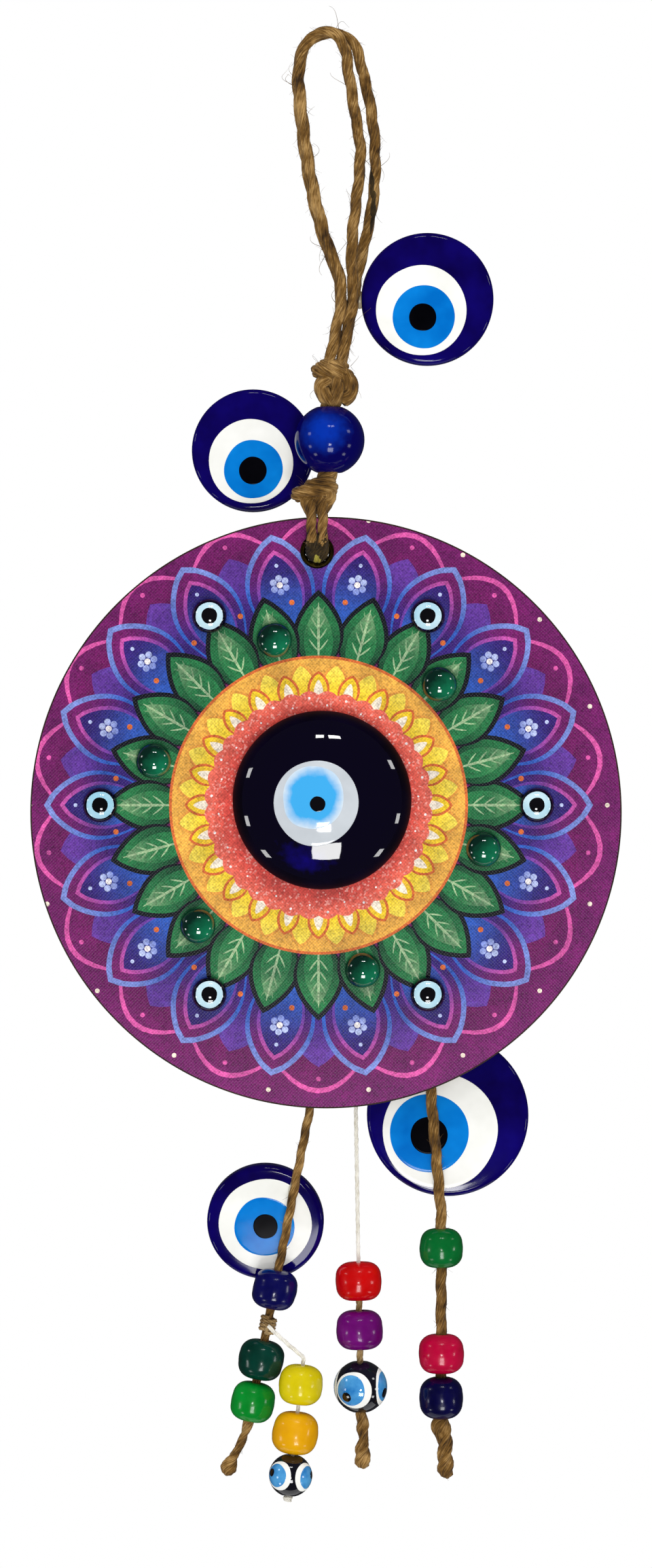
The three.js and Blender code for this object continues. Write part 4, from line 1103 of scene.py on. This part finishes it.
def make_strand(number):
    start, _, cord, foot, _, _ = STRANDS[number]
    body = f"strand_{number}"
    branch, thick = number == 2, cord > 2
    line = strand_line(number)
    shape = Shape()
    rope(shape, line, cord / 2, plies=3, pitch=cord * 7.5, seed=number * 9.0, sides=9 if thick else 6)
    material, slot = (JUTE, "jute") if thick else (STRING, "string")
    nodes = [f"strand_cord_{number}"] + ([] if branch else [f"strand_root_{number}"])
    made = piece(f"strand_{number}_cord", shape, [material], slot, body if branch else None, nodes)
    beads = make_beads(number)
    material, slot = (STRING, "string") if branch else (JUTE, "jute")
    tail = piece(f"tail_{number}_knot", make_tail(number), [material], slot, body, [f"tail_{number}"])
    if number in INNER_JUTE:
        top, radius = INNER_JUTE[number]
        inside = smooth_route([down_run(number, top), down_run(number, foot - TAIL_HIDDEN + 0.5)], 0.4)
        core = Shape()
        rope(core, inside, radius, plies=3, pitch=9.0, seed=5.0 * number)
        piece(f"strand_{number}_inner_jute", core, [TAN_STRING], "jute", body)
    if not branch:
        hinge = STRAND_4_HINGE if number == 4 else Vector(start)
        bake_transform(made)
    if thick:
        fuzz = Shape()
        below = [p for p in line if p.z < hinge.z - 4]
        stray_fibres(fuzz, below, cord / 2, per_mm=1.4, reach=2.4, seed=90 + number)
        piece(f"strand_{number}_fibres", fuzz, [JUTE], "jute", body)
    length_of(line) * MM


def make_branch_tie():
    """Turns of tan string round the first strand, where the second hangs from it."""
    place = run_frame(1) @ Matrix.Translation((0, 0, -TIE_DOWN))
    points = []
    for k in range(49):
        x, y = polar(TIE_RADIUS, 30 * k + 90)
        points.append(place @ Vector((x, -y, TIE_HEIGHT * (0.5 - k / 48))))
    points.append(BRANCH_HINGE)
    shape = Shape()
    rope(shape, smooth_route(points, 0.3), TIE_STRING, plies=3, pitch=4.0, seed=2.0, sides=6)
    piece("branch_tie_string", shape, [TAN_STRING], "string", "strand_1", ["branch_tie"])


# Glue and eyelet

def glue_dab(node, place, radii, body, seed, floor_y=None):
    """A lump of set glue; floor_y is the flat face that it lies on."""
    angles = [math.pi * k / 12 for k in range(13)]
    shape = Shape()
    turned(shape, [(max(0.0, math.sin(a)), -math.cos(a)) for a in angles], Matrix.Identity(4), 28)
    for i, v in enumerate(shape.verts):
        grown = 1 + 0.14 * noise.noise(v * 1.6 + Vector((seed, 0, 0)))
        spot = place @ (v * Vector(radii) * grown)
        if floor_y is not None:
            spot.y = max(spot.y, floor_y)
        shape.verts[i] = spot
    piece(f"{node}_dab", shape, [GLUE], "glue", body, [node])


def make_glue():
    for node, (body, center, radii, seed) in GLUE_DABS.items():
        place = Matrix.Translation(center)
        glue_dab(node, run_frame(1) @ place if body == "strand_1" else place, radii, body, seed)
    for number in (1, 3, 4):
        top = strand_line(number)[0]
        half = STRANDS[number].cord / 2
        glue_dab(f"strand_glue_{number}", Matrix.Translation((top.x, BOARD_BACK + half, top.z)),
                 (3.6, half + 1.5, 6.2), "disc", 12.0 + number, BOARD_BACK - 0.02)


def make_eyelet():
    profile = [*EYELET_FRONT, *((r, -y) for r, y in reversed(EYELET_FRONT))]
    shape = Shape()
    turned(shape, profile, Matrix.Translation((EYELET_X, 0, EYELET_Z)), 56)
    piece("eyelet_brass", shape, [BRASS], "brass", "disc", ["eyelet"])


# Printed disc

def petal(degrees, inner, outer, width, fullness, point, count=20):
    """Outline of a petal that stands on a circle: fullness moves its widest place out, point sharpens it."""
    sides = []
    for k in range(count + 1):
        t = k / count
        half = width * max(0.0, math.sin(math.pi * t ** fullness)) ** point
        sides.append((inner + (outer - inner) * t, half))
    outline = sides + [(r, -h) for r, h in reversed(sides[1:-1])]
    return [polar(r, degrees, h) for r, h in outline]


def ribbon(points, widest):
    """Outline of a brush stroke along some points, thin at both ends."""
    left, right = [], []
    last = len(points) - 1
    for i, (x, y) in enumerate(points):
        ax, ay = points[max(0, i - 1)]
        bx, by = points[min(last, i + 1)]
        size = math.hypot(bx - ax, by - ay)
        half = widest * (0.25 + 0.75 * math.sin(math.pi * i / last) ** 0.6)
        across = (-(by - ay) / size * half, (bx - ax) / size * half)
        left.append((x + across[0], y + across[1]))
        right.append((x - across[0], y - across[1]))
    return left + right[::-1]


def scalloped(radius, depth, lobes, count):
    angles = [TURN * k / count for k in range(count)]
    reaches = [radius + depth * abs(math.sin(a * lobes / 2)) for a in angles]
    return [(reach * math.cos(a), reach * math.sin(a)) for reach, a in zip(reaches, angles)]


def dot(radius, degrees, size, count=12):
    return circle(*polar(radius, degrees), size, count)


PLUM, ORCHID, PINK = rgb(104, 4, 84), rgb(118, 14, 102), rgb(222, 86, 166)
VIOLET, MAUVE, STROKE_BLUE = rgb(48, 20, 114), rgb(100, 52, 156), rgb(36, 88, 184)
PERIWINKLE, PALE_BLUE = rgb(126, 146, 216), rgb(190, 204, 242)
LEAF, LEAF_DARK, PALE_GREEN = rgb(30, 120, 66), rgb(8, 72, 42), rgb(158, 190, 142)
OUTLINE, FLAME = rgb(10, 16, 28), rgb(216, 106, 44)
ORANGE, PALE_ORANGE, CREAM = rgb(232, 164, 62), rgb(240, 178, 70), rgb(252, 240, 214)
GOLD, YELLOW, PALE_YELLOW = rgb(240, 190, 40), rgb(244, 208, 30), rgb(248, 224, 80)
CORAL, RED, WHITE = rgb(240, 110, 88), rgb(222, 70, 60), rgb(250, 246, 240)


def motifs():
    """Every shape of the print from the bottom up: outline, colours at two radii, those radii, and paint."""
    made = []

    def lay(outline, first, second=None, near=0.0, far=1.0, paint=0):
        made.append((outline, first, second or first, near, far, paint))

    lay(circle(0, 0, 80, 180), PLUM, ORCHID, 58, 78)
    for ray in range(0, 360, 20):
        middle = ray + 10
        rises = [6.4 * math.sin(math.pi * k / 10) for k in range(11)]
        sweep = [polar(66.0 + rise, middle + 1.9 * (k - 5)) for k, rise in enumerate(rises)]
        lay(ribbon(sweep, 0.66), PINK)
        lay(dot(69.4, middle, 0.6), PINK)
        lay(dot(73.2, ray, 0.6), CREAM)
        lay(petal(middle, 40, 66.4, 7.8, 1.2, 0.8), STROKE_BLUE, MAUVE, 52, 66)
        lay(petal(middle, 40, 64.8, 6.8, 1.2, 0.8), VIOLET, MAUVE, 50, 66)
    for ray in range(0, 360, 20):
        lay(petal(ray, 38, 69.6, 8.8, 1.25, 0.72), STROKE_BLUE, PERIWINKLE, 54, 69)
        lay(petal(ray, 38, 68.0, 7.8, 1.25, 0.72), VIOLET, ORCHID, 50, 68)
        lay(petal(ray, 40, 65.6, 6.0, 1.3, 0.75), MAUVE, PINK, 52, 72)
        lay(petal(ray, 40, 64.4, 5.2, 1.3, 0.75), STROKE_BLUE, VIOLET, 46, 63)
        if ray % 60:
            x, y = polar(56.6, ray)
            for s in range(6):
                across, up = polar(1.75, 60 * s + ray)
                lay(circle(x + across, y + up, 0.85, 12), PERIWINKLE, PALE_BLUE, 54, 59)
            lay(dot(56.6, ray, 0.8), WHITE)
        lay(dot(61.6, ray, 0.5), PALE_BLUE)
    for ray in range(0, 360, 15):
        lay(petal(ray, 33, 54.6, 6.4, 0.95, 0.85), OUTLINE)
        lay(petal(ray, 33, 53.0, 5.5, 0.95, 0.85), LEAF_DARK, LEAF, 37, 50)
        lay(petal(ray, 33, 50.6, 3.7, 0.95, 0.85), LEAF, PALE_GREEN, 42, 58)
        lay(ribbon([polar(36 + 1.7 * s, ray) for s in range(10)], 0.34), PALE_GREEN)
        for side in (-1, 1):
            for s in range(4):
                vein = []
                for t in range(4):
                    aside = side * (0.95 * t - 0.05 * t * t) * (1 - 0.12 * s)
                    vein.append(polar(39.0 + 2.8 * s + t, ray, aside))
                lay(ribbon(vein, 0.22), PALE_GREEN, LEAF, 40, 56)
        lay(dot(51.8, ray + 7.5, 0.7), FLAME)
    lay(circle(0, 0, 37.9, 160), FLAME)
    lay(circle(0, 0, 37.2, 160), ORANGE, PALE_ORANGE, 30, 37)
    for ray in range(0, 360, 15):
        lay(petal(ray + 7.5, 24, 36.4, 3.4, 1.2, 0.7), FLAME, ORANGE, 28, 36)
        lay(petal(ray + 7.5, 24, 35.6, 2.8, 1.2, 0.7), YELLOW, PALE_YELLOW, 28, 36)
    for ray in range(0, 360, 15):
        lay(petal(ray, 24, 34.0, 2.8, 1.2, 0.7), FLAME)
        lay(petal(ray, 24, 33.3, 2.2, 1.2, 0.7), GOLD, YELLOW, 28, 33)
        lay(petal(ray, 24, 31.8, 1.2, 1.2, 0.7), CREAM)
    lay(scalloped(28.0, 1.0, 36, 216), CORAL, RED, 29, 22, 1)
    for k in range(36):
        lay(dot(27.2 if k % 2 else 25.4, 10 * k + 5, 0.34 if k % 2 else 0.26, 8), WHITE)
    return made


GRID_STEP, GRID_HALF, GRID_PLAY = 2.4, 32, 0.3  # points strewn over the sheet, so that its faces stay small


def make_print():
    """The printed sheet: every outline cut into one flat mesh, each face coloured by its topmost shape."""
    shapes = motifs()
    verts, faces = [], []

    def outline_face(points):
        turning = sum(a[0] * b[1] - b[0] * a[1] for a, b in zip(points, points[1:] + points[:1]))
        faces.append(list(range(len(verts), len(verts) + len(points))))
        verts.extend(Vector(p) for p in (points if turning > 0 else points[::-1]))

    outline_face(circle(DISC_X, DISC_Z, DISC_RADIUS - RIM_BEVEL, 240))
    for outline, *_ in shapes:
        outline_face([(PRINT_X + x, PRINT_Z + y) for x, y in outline])
    outline_face(circle(EYELET_X, EYELET_Z, HOLE_RADIUS, 40))
    draw = random.Random(5)
    middle = Vector((DISC_X, DISC_Z))
    for i in range(-GRID_HALF, GRID_HALF + 1):
        for j in range(-GRID_HALF, GRID_HALF + 1):
            x = (i + draw.uniform(-GRID_PLAY, GRID_PLAY)) * GRID_STEP
            y = (j + draw.uniform(-GRID_PLAY, GRID_PLAY)) * GRID_STEP
            if math.hypot(x, y) < DISC_RADIUS - 1:
                verts.append(middle + Vector((x, y)))
    flat, _, cells, _, _, origins = delaunay_2d_cdt(verts, [], faces, 0, 1e-4, True)
    last = len(faces) - 1
    work = bmesh.new()
    ink = work.loops.layers.float_color.new("ink")
    made = [work.verts.new((p[0] * MM, PRINT_FRONT * MM, p[1] * MM)) for p in flat]
    for cell, origin in zip(cells, origins):
        if 0 not in origin or last in origin:
            continue
        _, first, second, near, far, paint = shapes[max(0, max(origin) - 1)]
        face = work.faces.new([made[i] for i in cell])
        face.material_index = paint
        for loop in face.loops:
            reach = math.hypot(loop.vert.co.x / MM - PRINT_X, loop.vert.co.z / MM - PRINT_Z)
            loop[ink] = mixed(first, second, eased((reach - near) / (far - near)))
    bmesh.ops.delete(work, geom=[v for v in work.verts if not v.link_faces], context="VERTS")
    grown = bmesh.ops.extrude_face_region(work, geom=list(work.faces), use_keep_orig=True)
    for item in grown["geom"]:
        if isinstance(item, bmesh.types.BMVert):
            item.co.y = PRINT_BACK * MM
    bmesh.ops.recalc_face_normals(work, faces=work.faces)
    mesh = bpy.data.meshes.new("print_sheet")
    work.to_mesh(mesh)
    work.free()
    mesh.materials.append(PRINT)
    mesh.materials.append(GLITTER)
    sheet = add_object("print_sheet", mesh)
    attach(sheet, "disc")


def make_board():
    """The wooden disc behind the print, with its laser-burnt rim and the eyelet's hole."""
    rim, hole = (DISC_X, DISC_Z), (EYELET_X, EYELET_Z)
    rim_count, hole_count = 240, 48
    inset = DISC_RADIUS - RIM_BEVEL
    shape = Shape()

    def wall(middle, levels, count):
        verts = [(x, y, z) for radius, y in levels for x, z in circle(*middle, radius, count)]
        faces, uvs = grid_faces(len(levels), count)
        shape.add(verts, faces, 1, uvs)

    wall(rim, ((inset, PRINT_BACK), (DISC_RADIUS, PRINT_BACK + RIM_BEVEL), (DISC_RADIUS, 0),
               (DISC_RADIUS, BOARD_BACK - RIM_BEVEL), (inset, BOARD_BACK)), rim_count)
    wall(hole, ((HOLE_RADIUS, PRINT_BACK), (HOLE_RADIUS, BOARD_BACK)), hole_count)
    points = circle(*rim, inset, rim_count) + circle(*hole, HOLE_RADIUS, hole_count)
    loops = [list(range(rim_count)), list(range(rim_count, rim_count + hole_count))]
    flat, _, cells, _, _, origins = delaunay_2d_cdt([Vector(p) for p in points], [], loops, 0, 1e-4, True)
    kept = [cell for cell, origin in zip(cells, origins) if 0 in origin and 1 not in origin]
    for y, paint in ((PRINT_BACK, 1), (BOARD_BACK, 0)):
        shape.add([(p[0], y, p[1]) for p in flat], kept, paint)
    made = piece("disc_board", shape, [BOARD, BURNT], "printed_wood", "disc", ["mandala_disc"])
    face_out(made.data, merge=True)


make_camera()
make_studio()
make_hanging_cord()
make_top_bead()
make_disc_cord()
for count, which in enumerate(NAZARS):
    make_nazar(which, 11.0 + 5 * count)
make_stones()
for number in STRANDS:
    make_strand(number)
make_branch_tie()
make_glue()
make_eyelet()
make_board()
make_print()
